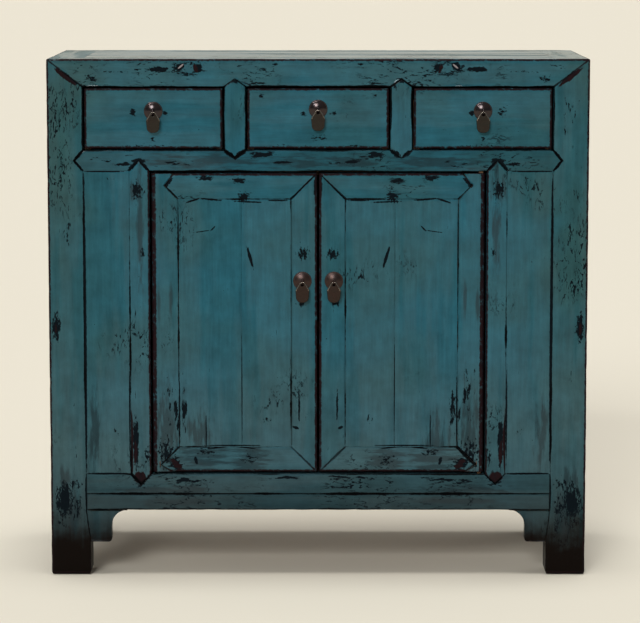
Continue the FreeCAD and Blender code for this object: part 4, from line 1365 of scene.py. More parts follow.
class Finishes:
    """The materials of the whole sideboard, each made once."""

    def __init__(self, lines: Lines) -> None:
        """Lays out every finish.

        Args:
            lines: The lines of the front, which the worn places are measured from.
        """
        lacquer, wood, bronze = Lacquer(lines.front), BareWood(), Bronze()
        # The top's copy of the lacquer is greyer: a painted tint of the pale sheen that the top
        # reflects.
        dusty = replace(
            lacquer, blue=(0.022, 0.089, 0.119), green=(0.027, 0.070, 0.075),
            faded=(0.049, 0.076, 0.085),
        )
        olive = Bronze(patina=(0.046, 0.042, 0.034), warm=(0.056, 0.036, 0.029))
        brown = Bronze(patina=(0.052, 0.038, 0.031), warm=(0.068, 0.035, 0.027))
        upright, across = Grain.UPRIGHT, Grain.ACROSS
        self.posts = lacquer.material("lacquer_posts", upright, 0.6, POST_MARKS)
        self.top_rails = lacquer.material(
            "lacquer_top_rails", across, 0.5, TOP_RAIL_MARKS, gloss=0.45
        )
        self.rails = lacquer.material("lacquer_rails", across, 0.5, RAIL_MARKS, depth=0.82)
        self.jambs = lacquer.material("lacquer_jambs", upright, 0.35, JAMB_MARKS)
        self.panels = lacquer.material("lacquer_panels", upright, 0.3, PANEL_MARKS)
        self.stiles = lacquer.material("lacquer_stiles", upright, 0.0, STILE_MARKS)
        self.door_rails = lacquer.material("lacquer_door_rails", across, 0.35, DOOR_RAIL_MARKS)
        self.door_panels = lacquer.material("lacquer_door_panels", upright, 0.0, DOOR_PANEL_MARKS)
        self.drawers = lacquer.material("lacquer_drawers", across, 0.25, DRAWER_MARKS)
        self.flat = dusty.material("lacquer_top", across, 0.35, gloss=0.55)
        self.deep = lacquer.material("lacquer_side_rails", Grain.DEEP, 0.6, gloss=0.5)
        self.wood = {g: wood.material(f"bare_wood_{g.name.lower()}", g) for g in Grain}
        self.drawer_plates = bronze.material(
            "bronze_drawer_plates", warmth=0.1, shade=0.62, rough=0.10
        )
        self.door_plates = bronze.material("bronze_door_plates", warmth=0.5, shade=0.55, rough=0.26)
        self.drawer_drops = olive.material(
            "bronze_drawer_drops", warmth=0.25, shade=0.60, rough=0.12
        )
        self.door_drops = brown.material("bronze_door_drops", warmth=0.4, shade=0.55, rough=0.12)


@dataclass(kw_only=True)
class Joinery:
    """A sub-assembly of wood, with what all of them share."""

    lines: Lines
    finishes: Finishes
    nodes: dict[str, bpy.types.Object]
    joint: float = 0.0010
    border: float = 0.005
    step: float = 0.012
    wave: float = 0.00035
    bite: float = 0.0011
    bare_arris: float = 0.0008
    made: list[bpy.types.Object] = field(default_factory=list, init=False)

    def lacquered(
        self, piece: Timber, body: str, node: str, material: Material, grain: Grain,
        inside: Optional[FaceTest],
    ) -> None:
        """Hands over a shaped piece in lacquer, in the place of its node.

        Args:
            piece: The shaped and weathered stock.
            body: The body that it moves with.
            node: The node that it stands for.
            material: Its lacquer.
            grain: The grain of the bare wood on its inside.
            inside: Which faces are bare.
        """
        materials = [material, self.finishes.wood[grain]]
        made = piece.hand_over(f"{node}_lacquered", materials, inside)
        self.made.append(dress(made, body, [node]))

    def bare(
        self, node: str, body: str, grain: Grain, strips: Iterable[Box] = ()
    ) -> None:
        """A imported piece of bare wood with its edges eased.

        Args:
            node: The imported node.
            body: The body that it moves with.
            grain: The axis of its grain.
            strips: The corners of thin strips that are let into its seams.
        """
        piece = Timber.copied(self.nodes[node])
        piece.number_boards()
        piece.ease(self.bare_arris, 0.0, segments=1)
        for low, high in strips:
            piece.add_block(low, high)
        made = piece.hand_over(f"{node}_wood", [self.finishes.wood[grain]], smooth=False)
        self.made.append(dress(made, body, [node]))


@dataclass(kw_only=True)
class Carcase(Joinery):
    """The fixed frame: posts, rails, panels, apron and the bare wood inside."""

    arris: float = 0.003
    post_joint: float = 0.0022
    post_shown: float = 0.020
    post_turned: float = 0.5
    flare: float = 0.007
    foot_chamfer: float = 0.006
    rail_depth: float = 0.046
    rail_point: float = 0.016
    top_rail_shown: float = 0.020
    middle_rail_shown: float = 0.024
    bottom_rail_shown: float = 0.026
    divider: Span = (0.1275, 0.1665)
    divider_depth: float = 0.044
    divider_point: float = 0.014
    divider_shown: float = 0.020
    jamb: Span = (0.299, 0.336)
    jamb_depth: float = 0.040
    jamb_point: float = 0.019
    jamb_shown: float = 0.030
    jamb_arris: float = 0.0024
    apron_arris: float = 0.0015
    bracket_width: float = 0.045
    bracket_sweep: float = 0.028
    bracket_corner: float = 0.006
    bracket_step: float = 0.004
    bracket_chords: int = 14
    panel_seam: float = 0.0006
    panel_layer: float = 0.008
    panel_thickness: float = 0.014
    groove: float = 0.0006
    top_boards: Span = (0.36, 0.70)
    top_step: float = 0.0168
    side_boards: Span = (0.37, 0.68)
    side_setback: float = 0.004
    side_thickness: float = 0.012
    side_rail: float = 0.040
    lip_half: float = 0.090
    lip_drop: float = 0.009
    lip_front: float = 0.0245
    lip_thickness: float = 0.010
    back_boards: int = 4
    loose_tongue: float = 0.002

    def build(self) -> list[bpy.types.Object]:
        """Builds and dresses every piece of the carcase.

        Returns:
            The pieces.
        """
        for hand in Hand:
            self._front_post(hand)
        self._rear_posts()
        self._top_rails()
        self._side_top_rails()
        self._top_board()
        self._dividers()
        self._middle_rail()
        self._bottom_rail()
        self._apron()
        self._brackets()
        self._jambs()
        self._fixed_panels()
        self._side_panels()
        self._side_bottom_rails()
        self._bare_pieces()
        return self.made

    def _finish(
        self, piece: Timber, node: str, material: Material, grain: Grain,
        inside: Optional[FaceTest], paired: bool = False, tapered: bool = False,
    ) -> None:
        """Eases the joints, weathers the piece and puts it in its node's place.

        Args:
            piece: The shaped stock.
            node: The node that it stands for.
            material: Its lacquer.
            grain: The grain of the bare wood on its inside.
            inside: Which faces are bare.
            paired: True where the node holds a mirror image too.
            tapered: True for a piece that runs out too thin for an inset border.
        """
        piece.ease(self.joint, 0.0, segments=2)
        if tapered:
            piece.divide(self.bracket_step)
            piece.settle()
        else:
            piece.border(self.border)
            piece.divide(self.step)
        if paired:
            piece.twin()
        piece.weather(self.wave, self.bite)
        self.lacquered(piece, "carcase", node, material, grain, inside)

    def _sawn(self, outline: Sequence[Point], depth: float) -> Timber:
        """A piece of the front from its outline."""
        return Timber.sawn(Outlook.FRONT, outline, (self.lines.front, self.lines.front + depth))

    def _behind(self, depth: float) -> FaceTest:
        """A test for the faces that look back, or lie deeper than what shows from the front.

        Args:
            depth: How deep the lacquer goes.

        Returns:
            The test.
        """
        deep = self.lines.front + depth
        return lambda normal, at: looks_back(normal, at) or at.y > deep

    def _post_blank(self, outline: Sequence[Point]) -> Timber:
        """A left post with its head mitred to the side and its outer edges rounded.

        Args:
            outline: The inner side of the post's front, above its flared foot.

        Returns:
            The post.
        """
        n = self.lines
        flare = -n.inner + self.flare
        foot = [(-n.half, 0.0), (flare, 0.0), (flare, n.bracket), (-n.inner, n.apron)]
        piece = self._sawn([*foot, *outline, (-n.inner, n.top), (-n.half, n.top)], n.post)
        piece.ease(self.foot_chamfer, 1.0, lambda at, way: near(at.z, 0.0), segments=2)
        piece.ease(self.arris, 1.0, lambda at, way: near(at.x, -n.half) and abs(way.z) > ALONG)
        piece.saw_off((-n.half, n.front, n.top), (0.0, n.top - n.top_rail, n.post))
        piece.saw_off((-n.half, n.front, n.top), (n.top - n.top_rail, 0.0, n.post))
        return piece

    def _post_inside(self, face: float, way: float) -> FaceTest:
        """A test for the faces of a post that show inside the cabinet.

        Args:
            face: Where the post's outer face lies.
            way: 1 where the inside lies behind that face, and -1 where it lies before it.

        Returns:
            The test.
        """
        low, covered = self.lines.bottom_rail, self.lines.half - self.side_thickness
        shown = way * face + self.post_shown

        def inside(normal: Vector, at: Vector) -> bool:
            """True for a face that shows inside."""
            turned = max(way * normal.y, towards_centre(normal, at)) > self.post_turned
            return turned and at.z > low and way * at.y > shown and abs(at.x) < covered

        return inside

    def _front_post(self, hand: Hand) -> None:
        """A front post, notched for the pointed end of the middle rail.

        Args:
            hand: The side that it stands on.
        """
        n = self.lines
        notch = (-n.inner - self.rail_point, (n.middle_top + n.middle_bottom) / 2)
        piece = self._post_blank([(-n.inner, n.middle_bottom), notch, (-n.inner, n.middle_top)])
        if hand is Hand.RIGHT:
            piece.flip(0)
        self._finish(
            piece, f"front_{hand.value}_post", self.finishes.posts, Grain.UPRIGHT,
            self._post_inside(n.front, 1.0),
        )

    def _rear_posts(self) -> None:
        """Both rear posts."""
        n = self.lines
        piece = self._post_blank([])
        piece.flip(1, (n.front + n.back) / 2)
        self._finish(
            piece, "rear_posts", self.finishes.posts, Grain.UPRIGHT,
            self._post_inside(n.back, -1.0), paired=True,
        )

    @staticmethod
    def _notches(span: Span, base: float, tip: float) -> list[Point]:
        """The corners of the left and right notches for pointed ends, from the left to the right.

        Args:
            span: The inner and outer corner of a notch, from the centre line.
            base: The height of those corners.
            tip: The height of the notch's tip.

        Returns:
            The corners.
        """
        inner, outer = span
        middle = (inner + outer) / 2
        left = [(-outer, base), (-middle, tip), (-inner, base)]
        return [*left, (inner, base), (middle, tip), (outer, base)]

    def _top_rails(self) -> None:
        """The front and rear rails of the top frame, mitred at their ends."""
        n = self.lines
        shown = (n.front + self.top_rail_shown, n.back - self.top_rail_shown)
        for node, notched in (("top_front_rail", True), ("top_rear_rail", False)):
            outline = [(-n.half, n.top), (-n.half, n.top_rail)]
            if notched:
                outline += self._notches(self.divider, n.top_rail, n.top_rail + self.divider_point)
            piece = self._sawn([*outline, (n.half, n.top_rail), (n.half, n.top)], n.post)
            piece.ease(
                self.arris, 1.0, lambda at, way: near(at.z, n.top) and near(at.y, n.front)
            )
            for side in (-1.0, 1.0):
                corner = (side * n.half, n.front, n.top)
                piece.saw_off(corner, (side, 1.0, 0.0))
                piece.saw_off(corner, (side * (n.top - n.top_rail), 0.0, -n.post))
            if not notched:
                piece.flip(1, (n.front + n.back) / 2)
            self._finish(
                piece, node, self.finishes.top_rails, Grain.ACROSS,
                lambda normal, at: looks_down(normal, at) and shown[0] < at.y < shown[1],
            )

    def _side_top_rails(self) -> None:
        """The two side rails of the top frame."""
        n = self.lines
        piece = Timber.block((-n.half, n.front, n.top_rail), (-n.inner, n.back, n.top))
        piece.ease(self.arris, 1.0, lambda at, way: near(at.z, n.top) and near(at.x, -n.half))
        for way, end in ((-1.0, n.front), (1.0, n.back)):
            corner = (-n.half, end, n.top)
            piece.saw_off(corner, (1.0, way, 0.0))
            piece.saw_off(corner, (0.0, way * (n.top - n.top_rail), -n.post))
        self._finish(
            piece, "top_side_rails", self.finishes.deep, Grain.DEEP, None, paired=True
        )

    def _flush_panel(
        self, outlook: Outlook, across: Span, up: Span, face: float, inwards: float
    ) -> Timber:
        """A panel whose face is flush, with a tongue all round behind it.

        Args:
            outlook: The side that the panel is seen from.
            across: The panel's opening, across.
            up: The panel's opening, upwards.
            face: Where the face lies.
            inwards: 1 or -1, the way from the face into the panel.

        Returns:
            The panel.
        """
        tongue = self.lines.tongue
        left, right = across[0] - tongue, across[1] + tongue
        low, high = up[0] - tongue, up[1] + tongue
        layer = face + inwards * self.panel_layer
        piece = Timber.sawn(
            outlook, [(left, low), (right, low), (right, high), (left, high)],
            (layer, face + inwards * self.panel_thickness),
        )
        piece.raise_field(tongue + self.panel_seam, outlook.place(0.0, 0.0, face - layer))
        return piece

    def _top_board(self) -> None:
        """The top board, of three boards side by side."""
        n = self.lines
        deep = (n.front + n.post, n.back - n.post)
        piece = self._flush_panel(Outlook.PLAN, (-n.inner, n.inner), deep, n.top, -1.0)
        piece.ease(self.joint, 0.0, segments=2)
        piece.border(self.border)
        for share in self.top_boards:
            piece.score(1, deep[0] + (deep[1] - deep[0]) * share, 2, n.top, -self.groove)
        piece.divide(self.top_step)
        piece.weather(self.wave, self.bite)
        self.lacquered(
            piece, "carcase", "top_panel", self.finishes.flat, Grain.ACROSS, looks_down
        )

    def _upright(self, span: Span, low: float, high: float, point: float, depth: float) -> Timber:
        """A left upright of the front with pointed ends.

        Args:
            span: Its inner and outer edges, from the centre line.
            low: The foot of its straight part.
            high: The head of its straight part.
            point: How far the points go into the rails.
            depth: Its depth.

        Returns:
            The upright.
        """
        left, right = -span[1], -span[0]
        middle = (left + right) / 2
        foot = [(left, low), (middle, low - point), (right, low)]
        return self._sawn([*foot, (right, high), (middle, high + point), (left, high)], depth)

    def _dividers(self) -> None:
        """The two uprights between the drawers."""
        n = self.lines
        piece = self._upright(
            self.divider, n.middle_top, n.top_rail, self.divider_point, self.divider_depth
        )
        self._finish(
            piece, "drawer_dividers", self.finishes.jambs, Grain.UPRIGHT,
            self._behind(self.divider_shown), paired=True,
        )

    def _jambs(self) -> None:
        """The two uprights beside the doors."""
        n = self.lines
        piece = self._upright(
            self.jamb, n.bottom_top, n.middle_bottom, self.jamb_point, self.jamb_depth
        )

        def beside_door(at: Vector, way: Vector) -> bool:
            """True for the front edge beside the door."""
            return near(at.x, -self.jamb[0]) and near(at.y, n.front) and abs(way.z) > ALONG

        piece.ease(self.jamb_arris, 1.0, beside_door)
        self._finish(
            piece, "door_jambs", self.finishes.jambs, Grain.UPRIGHT,
            self._behind(self.jamb_shown), paired=True,
        )

    def _middle_rail(self) -> None:
        """The rail under the drawers, pointed at its ends, with the lip that stops the doors."""
        n = self.lines
        tip, middle = n.inner + self.rail_point, (n.middle_top + n.middle_bottom) / 2
        jambs = self._notches(self.jamb, n.middle_bottom, n.middle_bottom + self.jamb_point)
        dividers = self._notches(self.divider, n.middle_top, n.middle_top - self.divider_point)
        outline = [(-n.inner, n.middle_top), (-tip, middle), (-n.inner, n.middle_bottom), *jambs]
        outline += [(n.inner, n.middle_bottom), (tip, middle), (n.inner, n.middle_top)]
        piece = self._sawn([*outline, *reversed(dividers)], self.rail_depth)
        lip = n.front + self.lip_front
        piece.add_block(
            (-self.lip_half, lip, n.middle_bottom - self.lip_drop),
            (self.lip_half, lip + self.lip_thickness, n.middle_bottom + self.lip_drop),
        )
        self._finish(
            piece, "middle_rail", self.finishes.rails, Grain.ACROSS,
            self._behind(self.middle_rail_shown),
        )

    def _bottom_rail(self) -> None:
        """The rail under the doors."""
        n = self.lines
        jambs = self._notches(self.jamb, n.bottom_top, n.bottom_top - self.jamb_point)
        outline = [(-n.inner, n.bottom_rail), (n.inner, n.bottom_rail), (n.inner, n.bottom_top)]
        outline += [*reversed(jambs), (-n.inner, n.bottom_top)]
        self._finish(
            self._sawn(outline, self.rail_depth), "bottom_rail", self.finishes.rails, Grain.ACROSS,
            self._behind(self.bottom_rail_shown),
        )

    def _apron(self) -> None:
        """The straight apron under the bottom rail."""
        n = self.lines
        low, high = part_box("front_apron")
        piece = Timber.block((-n.inner, low.y, low.z), (n.inner, high.y, high.z))
        piece.ease(self.apron_arris, 0.0, lambda at, way: near(at.z, low.z) and near(at.y, low.y))
        self._finish(piece, "front_apron", self.finishes.rails, Grain.ACROSS, looks_back)

    def _brackets(self) -> None:
        """The curved brackets between the apron and the front posts."""
        n = self.lines
        low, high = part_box("apron_brackets")
        piece = Timber()
        mesh = piece.mesh
        tip, sweep = -n.inner + self.bracket_width, n.apron - self.bracket_sweep
        centre = (tip + self.bracket_sweep, low.y, sweep)
        curve = piece.add_arc((tip, low.y, sweep), centre, math.pi / 2, self.bracket_chords)
        corners = ((-n.inner + self.flare, n.bracket), (tip, n.bracket), (-n.inner, n.apron))
        heel, toe, head = (mesh.verts.new((x, low.y, z)) for x, z in corners)
        bmesh.ops.delete(mesh, geom=mesh.edges[:], context="EDGES_FACES")
        face = mesh.faces.new([heel, toe, *curve, head])
        piece.thicken(face, BACK * (high.y - low.y))
        piece.ease(
            self.bracket_corner, 1.0, lambda at, way: near(at.z, n.bracket) and near(at.x, tip),
            segments=5,
        )
        self._finish(
            piece, "apron_brackets", self.finishes.posts, Grain.UPRIGHT, looks_back,
            paired=True, tapered=True,
        )

    def _fixed_panels(self) -> None:
        """The two fixed panels between posts and jambs."""
        n = self.lines
        across, up = (-n.inner, -self.jamb[1]), (n.bottom_top, n.middle_bottom)
        piece = self._flush_panel(Outlook.FRONT, across, up, n.front, 1.0)
        edge = across[0] + self.panel_seam
        piece.ease(self.post_joint, 0.0, lambda at, way: near(at.y, n.front) and near(at.x, edge))
        self._finish(
            piece, "fixed_front_panels", self.finishes.panels, Grain.UPRIGHT, looks_back,
            paired=True,
        )

    def _side_panels(self) -> None:
        """The two side panels, each of three upright boards."""
        n = self.lines
        face = -n.half + self.side_setback
        deep = (n.front + n.post - n.tongue, n.back - n.post + n.tongue)
        piece = Timber.block(
            (face, deep[0], n.bottom_top - n.tongue),
            (face + self.side_thickness, deep[1], n.top_rail + n.tongue),
        )
        for share in self.side_boards:
            piece.score(1, deep[0] + (deep[1] - deep[0]) * share, 0, face, self.groove)
        self._finish(
            piece, "side_panels", self.finishes.panels, Grain.UPRIGHT, looks_inwards, paired=True
        )

    def _side_bottom_rails(self) -> None:
        """The bottom rails of both sides."""
        n = self.lines
        piece = Timber.block(
            (-n.half, n.front + n.post, n.bottom_rail),
            (-n.half + self.side_rail, n.back - n.post, n.bottom_top),
        )
        self._finish(
            piece, "side_bottom_rails", self.finishes.deep, Grain.DEEP, looks_inwards, paired=True
        )

    def _bare_pieces(self) -> None:
        """The bare wood at the back and inside."""
        grains = {
            "top_battens": Grain.DEEP, "rear_rails": Grain.ACROSS, "back_boards": Grain.UPRIGHT,
            "cabinet_floor": Grain.ACROSS, "shelf": Grain.ACROSS, "shelf_cleats": Grain.DEEP,
            "drawer_runners": Grain.DEEP,
        }
        for node, grain in grains.items():
            strips = self._loose_tongues() if node == "back_boards" else ()
            self.bare(node, "carcase", grain, strips)

    def _loose_tongues(self) -> list[Box]:
        """The corners of the thin tongues that close the seams between the back boards.

        Returns:
            The lowest and highest corner of each tongue.
        """
        low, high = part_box("back_boards")
        middle, pitch = (low.y + high.y) / 2, (high.x - low.x) / self.back_boards
        seams = [low.x + pitch * i for i in range(1, self.back_boards)]
        half = Vector((self.loose_tongue * 2, self.loose_tongue / 2, 0.0))
        ends = [(Vector((x, middle, low.z)), Vector((x, middle, high.z))) for x in seams]
        return [(start - half, end + half) for start, end in ends]


@dataclass(kw_only=True)
class Door(Joinery):
    """One door: two stiles, two rails and a flush panel, with dowels for pivots."""

    hand: Hand
    stile: float = 0.048
    rail: float = 0.047
    thickness: float = 0.024
    top_point: Point = (0.025, 0.008)
    foot_point: Point = (0.034, 0.014)
    arris: float = 0.0035
    hinge_arris: float = 0.007
    panel_joint: float = 0.0007
    close_worn: float = 0.9
    pivot_radius: float = 0.0055
    pivot_inset: float = 0.0075
    pivot_length: float = 0.017
    panel_seam: float = 0.0005
    panel_layer: float = 0.008
    panel_thickness: float = 0.014
    board_at: float = -0.1365
    groove: float = 0.0006

    def __post_init__(self) -> None:
        """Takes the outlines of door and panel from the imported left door."""
        low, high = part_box("left_door_hinge_stile")
        self.front = self.lines.front
        self.left, self.right = low.x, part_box("left_door_meeting_stile")[1].x
        self.low, self.high = low.z + self.pivot_length, high.z - self.pivot_length
        self.panel_x = (self.left + self.stile, self.right - self.stile)
        self.panel_z = (self.low + self.rail, self.high - self.rail)

    def build(self) -> list[bpy.types.Object]:
        """Builds and dresses the door's wooden pieces.

        Returns:
            The pieces.
        """
        stiles, rails = self.finishes.stiles, self.finishes.door_rails
        self._finish(self._hinge_stile(), "hinge_stile", stiles, Grain.UPRIGHT)
        self._finish(self._meeting_stile(), "meeting_stile", stiles, Grain.UPRIGHT)
        self._finish(self._rail(True), "top_rail", rails, Grain.ACROSS)
        self._finish(self._rail(False), "bottom_rail", rails, Grain.ACROSS)
        self._finish(self._panel(), "panel", self.finishes.door_panels, Grain.UPRIGHT)
        return self.made

    def _finish(
        self, piece: Timber, part: str, material: Material, grain: Grain
    ) -> None:
        """Eases, weathers and hands over one piece of the door.

        Args:
            piece: The shaped stock.
            part: The piece's name in the door.
            material: Its lacquer.
            grain: The grain of its bare back.
        """
        piece.ease(self.panel_joint if part == "panel" else self.joint, 0.0, segments=2)
        piece.border(self.border)
        if part == "panel":
            reach = (Timber.EVERYWHERE[0], self.panel_z[1])
            piece.score(0, self.board_at, 1, self.front, self.groove, reach)
        piece.divide(self.step)
        piece.weather(self.wave, self.bite)
        if self.hand is Hand.RIGHT:
            piece.flip(0)
        body = f"{self.hand.value}_door"
        self.lacquered(piece, body, f"{body}_{part}", material, grain, self._is_bare)

    def _is_bare(self, normal: Vector, at: Vector) -> bool:
        """True for the door's back and the recess behind its panel.

        Args:
            normal: A face's normal.
            at: The face's middle.

        Returns:
            Whether the bare wood shows there.
        """
        within = -self.right + self.border < abs(at.x) < -self.left - self.border
        within = within and self.low + self.border < at.z < self.high - self.border
        return looks_back(normal, at) or (within and at.y > self.front + self.thickness / 2)

    def _sawn(self, outline: Sequence[Point]) -> Timber:
        """A piece of the door from its front outline."""
        return Timber.sawn(Outlook.FRONT, outline, (self.front, self.front + self.thickness))

    def _points(self, top: bool) -> list[Point]:
        """The pointed joint between the hinge stile and a rail, from the panel outwards.

        Args:
            top: True for the top rail.

        Returns:
            The joint's three corners.
        """
        out, back = self.top_point if top else self.foot_point
        x, z = self.panel_x[0], self.panel_z[1] if top else self.panel_z[0]
        way = 1.0 if top else -1.0
        return [(x, z), (x - out, z + way * out), (x - back, self.high if top else self.low)]

    def _round_outside(self, piece: Timber) -> None:
        """Rounds the front edges along the outside of the door.

        Args:
            piece: A stile or a rail.
        """
        def outside(at: Vector, way: Vector) -> bool:
            """True for an edge along the outside."""
            ends = near(at.z, self.low) or near(at.z, self.high)
            return near(at.y, self.front) and (ends or near(at.x, self.right))

        piece.ease(self.arris, 1.0, outside)

    def _tighten(self, piece: Timber, x: float) -> None:
        """Rounds an edge at the close joint between the panel and the meeting stile.

        Args:
            piece: The panel or the stile.
            x: The edge's place.
        """
        piece.ease(
            self.panel_joint, 0.0, lambda at, way: near(at.y, self.front) and near(at.x, x),
            segments=2, worn=self.close_worn,
        )

    def _hinge_stile(self) -> Timber:
        """The outer stile, well rounded at the hinge, with a dowel at each end.

        Returns:
            The stile.
        """
        joints = [*reversed(self._points(False)), *self._points(True)]
        piece = self._sawn([(self.left, self.low), *joints, (self.left, self.high)])
        piece.ease(
            self.hinge_arris, 1.0,
            lambda at, way: near(at.y, self.front) and near(at.x, self.left), segments=5,
        )
        self._round_outside(piece)
        centre = (self.left + self.pivot_inset, self.front + self.pivot_inset)
        for z in (self.low - self.pivot_length / 2, self.high + self.pivot_length / 2):
            piece.add_dowel((*centre, z), UP, self.pivot_radius, self.pivot_length)
        return piece

    def _meeting_stile(self) -> Timber:
        """The inner stile, mitred at both ends.

        Returns:
            The stile.
        """
        x = self.panel_x[1]
        outer = [(self.right, self.low), (self.right, self.high)]
        piece = self._sawn([(x, self.panel_z[0]), *outer, (x, self.panel_z[1])])
        self._round_outside(piece)
        self._tighten(piece, x)
        return piece

    def _rail(self, top: bool) -> Timber:
        """A rail, pointed at the hinge stile and mitred at the meeting stile.

        Args:
            top: True for the top rail.

        Returns:
            The rail.
        """
        outer, inner = (self.high, self.panel_z[1]) if top else (self.low, self.panel_z[0])
        mitre = [(self.right, outer), (self.panel_x[1], inner)]
        piece = self._sawn([*self._points(top), *mitre])
        self._round_outside(piece)
        return piece

    def _panel(self) -> Timber:
        """The flush panel, of two boards.

        Returns:
            The panel.
        """
        low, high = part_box("left_door_panel")
        layer, back = self.front + self.panel_layer, self.front + self.panel_thickness
        piece = Timber.block((low.x, layer, low.z), (high.x, back, high.z))
        tongue = self.panel_x[0] - low.x
        piece.raise_field(tongue + self.panel_seam, BACK * -self.panel_layer)
        self._tighten(piece, self.panel_x[1] - self.panel_seam)
        return piece


@dataclass(kw_only=True)
class Drawer(Joinery):
    """One drawer: a lacquered front and a box of bare wood."""

    name: str
    arris: float = 0.0032

    def build(self) -> list[bpy.types.Object]:
        """Builds and dresses the drawer.

        Returns:
            The pieces.
        """
        grains = {"sides": Grain.DEEP, "back": Grain.ACROSS, "bottom": Grain.ACROSS}
        self._front()
        for part, grain in grains.items():
            self.bare(f"{self.name}_{part}", self.name, grain)
        return self.made

    def _front(self) -> None:
        """The drawer's front, rounded along its front edges."""
        node = f"{self.name}_front"
        low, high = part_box(node)
        piece = Timber.block(low, high)
        piece.ease(self.arris, 1.0, lambda at, way: near(at.y, low.y), segments=4)
        piece.ease(self.joint, 0.0, segments=2)
        piece.border(self.border)
        piece.divide(self.step)
        piece.weather(self.wave, self.bite)
        self.lacquered(
            piece, self.name, node, self.finishes.drawers, Grain.ACROSS, looks_back
        )


@dataclass
class Pull:
    """One pull: a domed plate, a split pin with an eye, and a flat drop."""

    owner: str
    plate_finish: Material
    drop_finish: Material
    front: float
    rim: float = 0.0011
    rim_fall: float = 0.6
    rim_share: float = 0.955
    rim_worn: float = 0.45
    plate_steps: int = 48
    wire: float = 0.00105
    wire_sides: int = 12
    eye: float = 0.0045
    eye_steps: int = 36
    shank: float = 0.0018
    shank_sides: int = 16
    leg_width: float = 0.0032
    leg_thickness: float = 0.0016
    hole: float = 0.0026
    hole_fall: float = 0.0058
    hole_chords: int = 12
    hole_rim: float = 1.2
    hole_worn: float = 1.6
    neck: float = 0.0046
    neck_taper: float = 0.82
    shoulder_fall: float = 0.0155
    shoulder: float = 0.0012
    foot_half: float = 0.0105
    foot_round: float = 0.0085
    foot_worn: float = 0.5
    corner_facets: int = 6
    edge: float = 0.0005
    flat: float = 0.0004

    PROFILE = (0.12, 0.3, 0.5, 0.68, 0.83, 0.92)
    BROADSIDE = 0.99

    def __post_init__(self) -> None:
        """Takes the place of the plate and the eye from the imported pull."""
        low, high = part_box(f"{self.owner}_pull_plate")
        self.x, self.z = (low.x + high.x) / 2, (low.z + high.z) / 2
        self.radius, self.dome = (high.x - low.x) / 2, self.front - low.y
        self.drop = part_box(f"{self.owner}_pull_drop")
        self.eye_y = (self.drop[0].y + self.drop[1].y) / 2

    def build(self) -> list[bpy.types.Object]:
        """Builds and dresses the pull.

        Returns:
            The plate, pin and drop.
        """
        drop = f"{self.owner}_drop"
        return [
            self._hand_over(self._plate(), "pull_plate", self.owner, self.plate_finish),
            self._hand_over(self._pin(), "pull_pin", self.owner, self.plate_finish),
            self._hand_over(self._drop(), "pull_drop", drop, self.drop_finish),
        ]

    def _hand_over(
        self, piece: Timber, part: str, body: str, finish: Material
    ) -> bpy.types.Object:
        """Hands over one piece of the pull."""
        made = piece.hand_over(f"{self.owner}_{part}_bronze", [finish])
        return dress(made, body, [f"{self.owner}_{part}"])

    def _plate(self) -> Timber:
        """The domed plate, turned from its profile, with a rolled rim.

        Returns:
            The plate.
        """
        piece = Timber()
        lift = self.dome / self.radius ** 2
        radii = [share * self.radius for share in self.PROFILE]
        profile = [(r, self.front - self.dome + lift * r ** 2) for r in radii]
        profile += [(self.rim_share * self.radius, self.front - self.rim)]
        fall = self.rim * self.rim_fall
        profile += [(self.radius, self.front - fall), (self.radius, self.front)]
        line = [piece.mesh.verts.new((self.x + r, y, self.z)) for r, y in profile]
        for pair in zip(line, line[1:]):
            piece.mesh.edges.new(pair)
        for vert in line[-3:-1]:
            vert[piece.edge] = self.rim_worn
        piece.revolve(line, (self.x, 0.0, self.z), BACK, self.plate_steps)
        piece.close()
        return piece

    def _pin(self) -> Timber:
        """The eye, the shank through the front, and the two legs spread behind it.

        Returns:
            The pin.
        """
        piece = Timber()
        place = Matrix.Translation((self.x, self.eye_y, self.z - self.eye))
        for axis in "YX":
            place = place @ Matrix.Rotation(math.pi / 2, 4, axis)
        ring = bmesh.ops.create_circle(
            piece.mesh, cap_ends=False, segments=self.wire_sides, radius=self.wire, matrix=place
        )["verts"]
        piece.revolve(ring, (self.x, self.eye_y, self.z), RIGHT, self.eye_steps)
        low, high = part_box(f"{self.owner}_pull_pin")
        start, end = self.eye_y + self.eye, high.y
        middle = (self.x, (start + end) / 2, self.z)
        piece.add_dowel(middle, BACK, self.shank, end - start, self.shank_sides)
        half, rise = (high.x - low.x) / 2, self.leg_width / 2
        piece.add_block(
            (self.x - half, end - self.leg_thickness, self.z - rise),
            (self.x + half, end, self.z + rise),
        )
        piece.face_outwards()
        return piece

    def _drop(self) -> Timber:
        """The flat drop, with a hole at its neck, sloping shoulders and a rounded foot.

        Returns:
            The drop.
        """
        piece = self._drop_blank()
        mesh = piece.mesh
        front = self.drop[0].y
        centre = Vector((self.x, front, self.z - self.hole_fall))
        shoulder = self.z - self.shoulder_fall - self.shoulder

        def outline(at: Vector, way: Vector) -> bool:
            """True for a front edge that isn't the hole's."""
            return near(at.y, front) and (at - centre).length > self.hole_rim * self.hole

        piece.ease(self.shoulder, 1.0, outline, segments=1)
        piece.ease(self.edge, 1.0, segments=2)
        broad = [face for face in mesh.faces if abs(face.normal.y) > self.BROADSIDE]
        bmesh.ops.inset_region(mesh, faces=broad, thickness=self.flat, use_even_offset=True)
        for vert in {vert for face in broad for vert in face.verts}:
            vert[piece.edge] = 0.0
        for vert in mesh.verts:
            away = (vert.co - centre).length > self.hole_worn * self.hole
            vert[piece.edge] *= 1.0 if away and vert.co.z > shoulder else self.foot_worn
        return piece

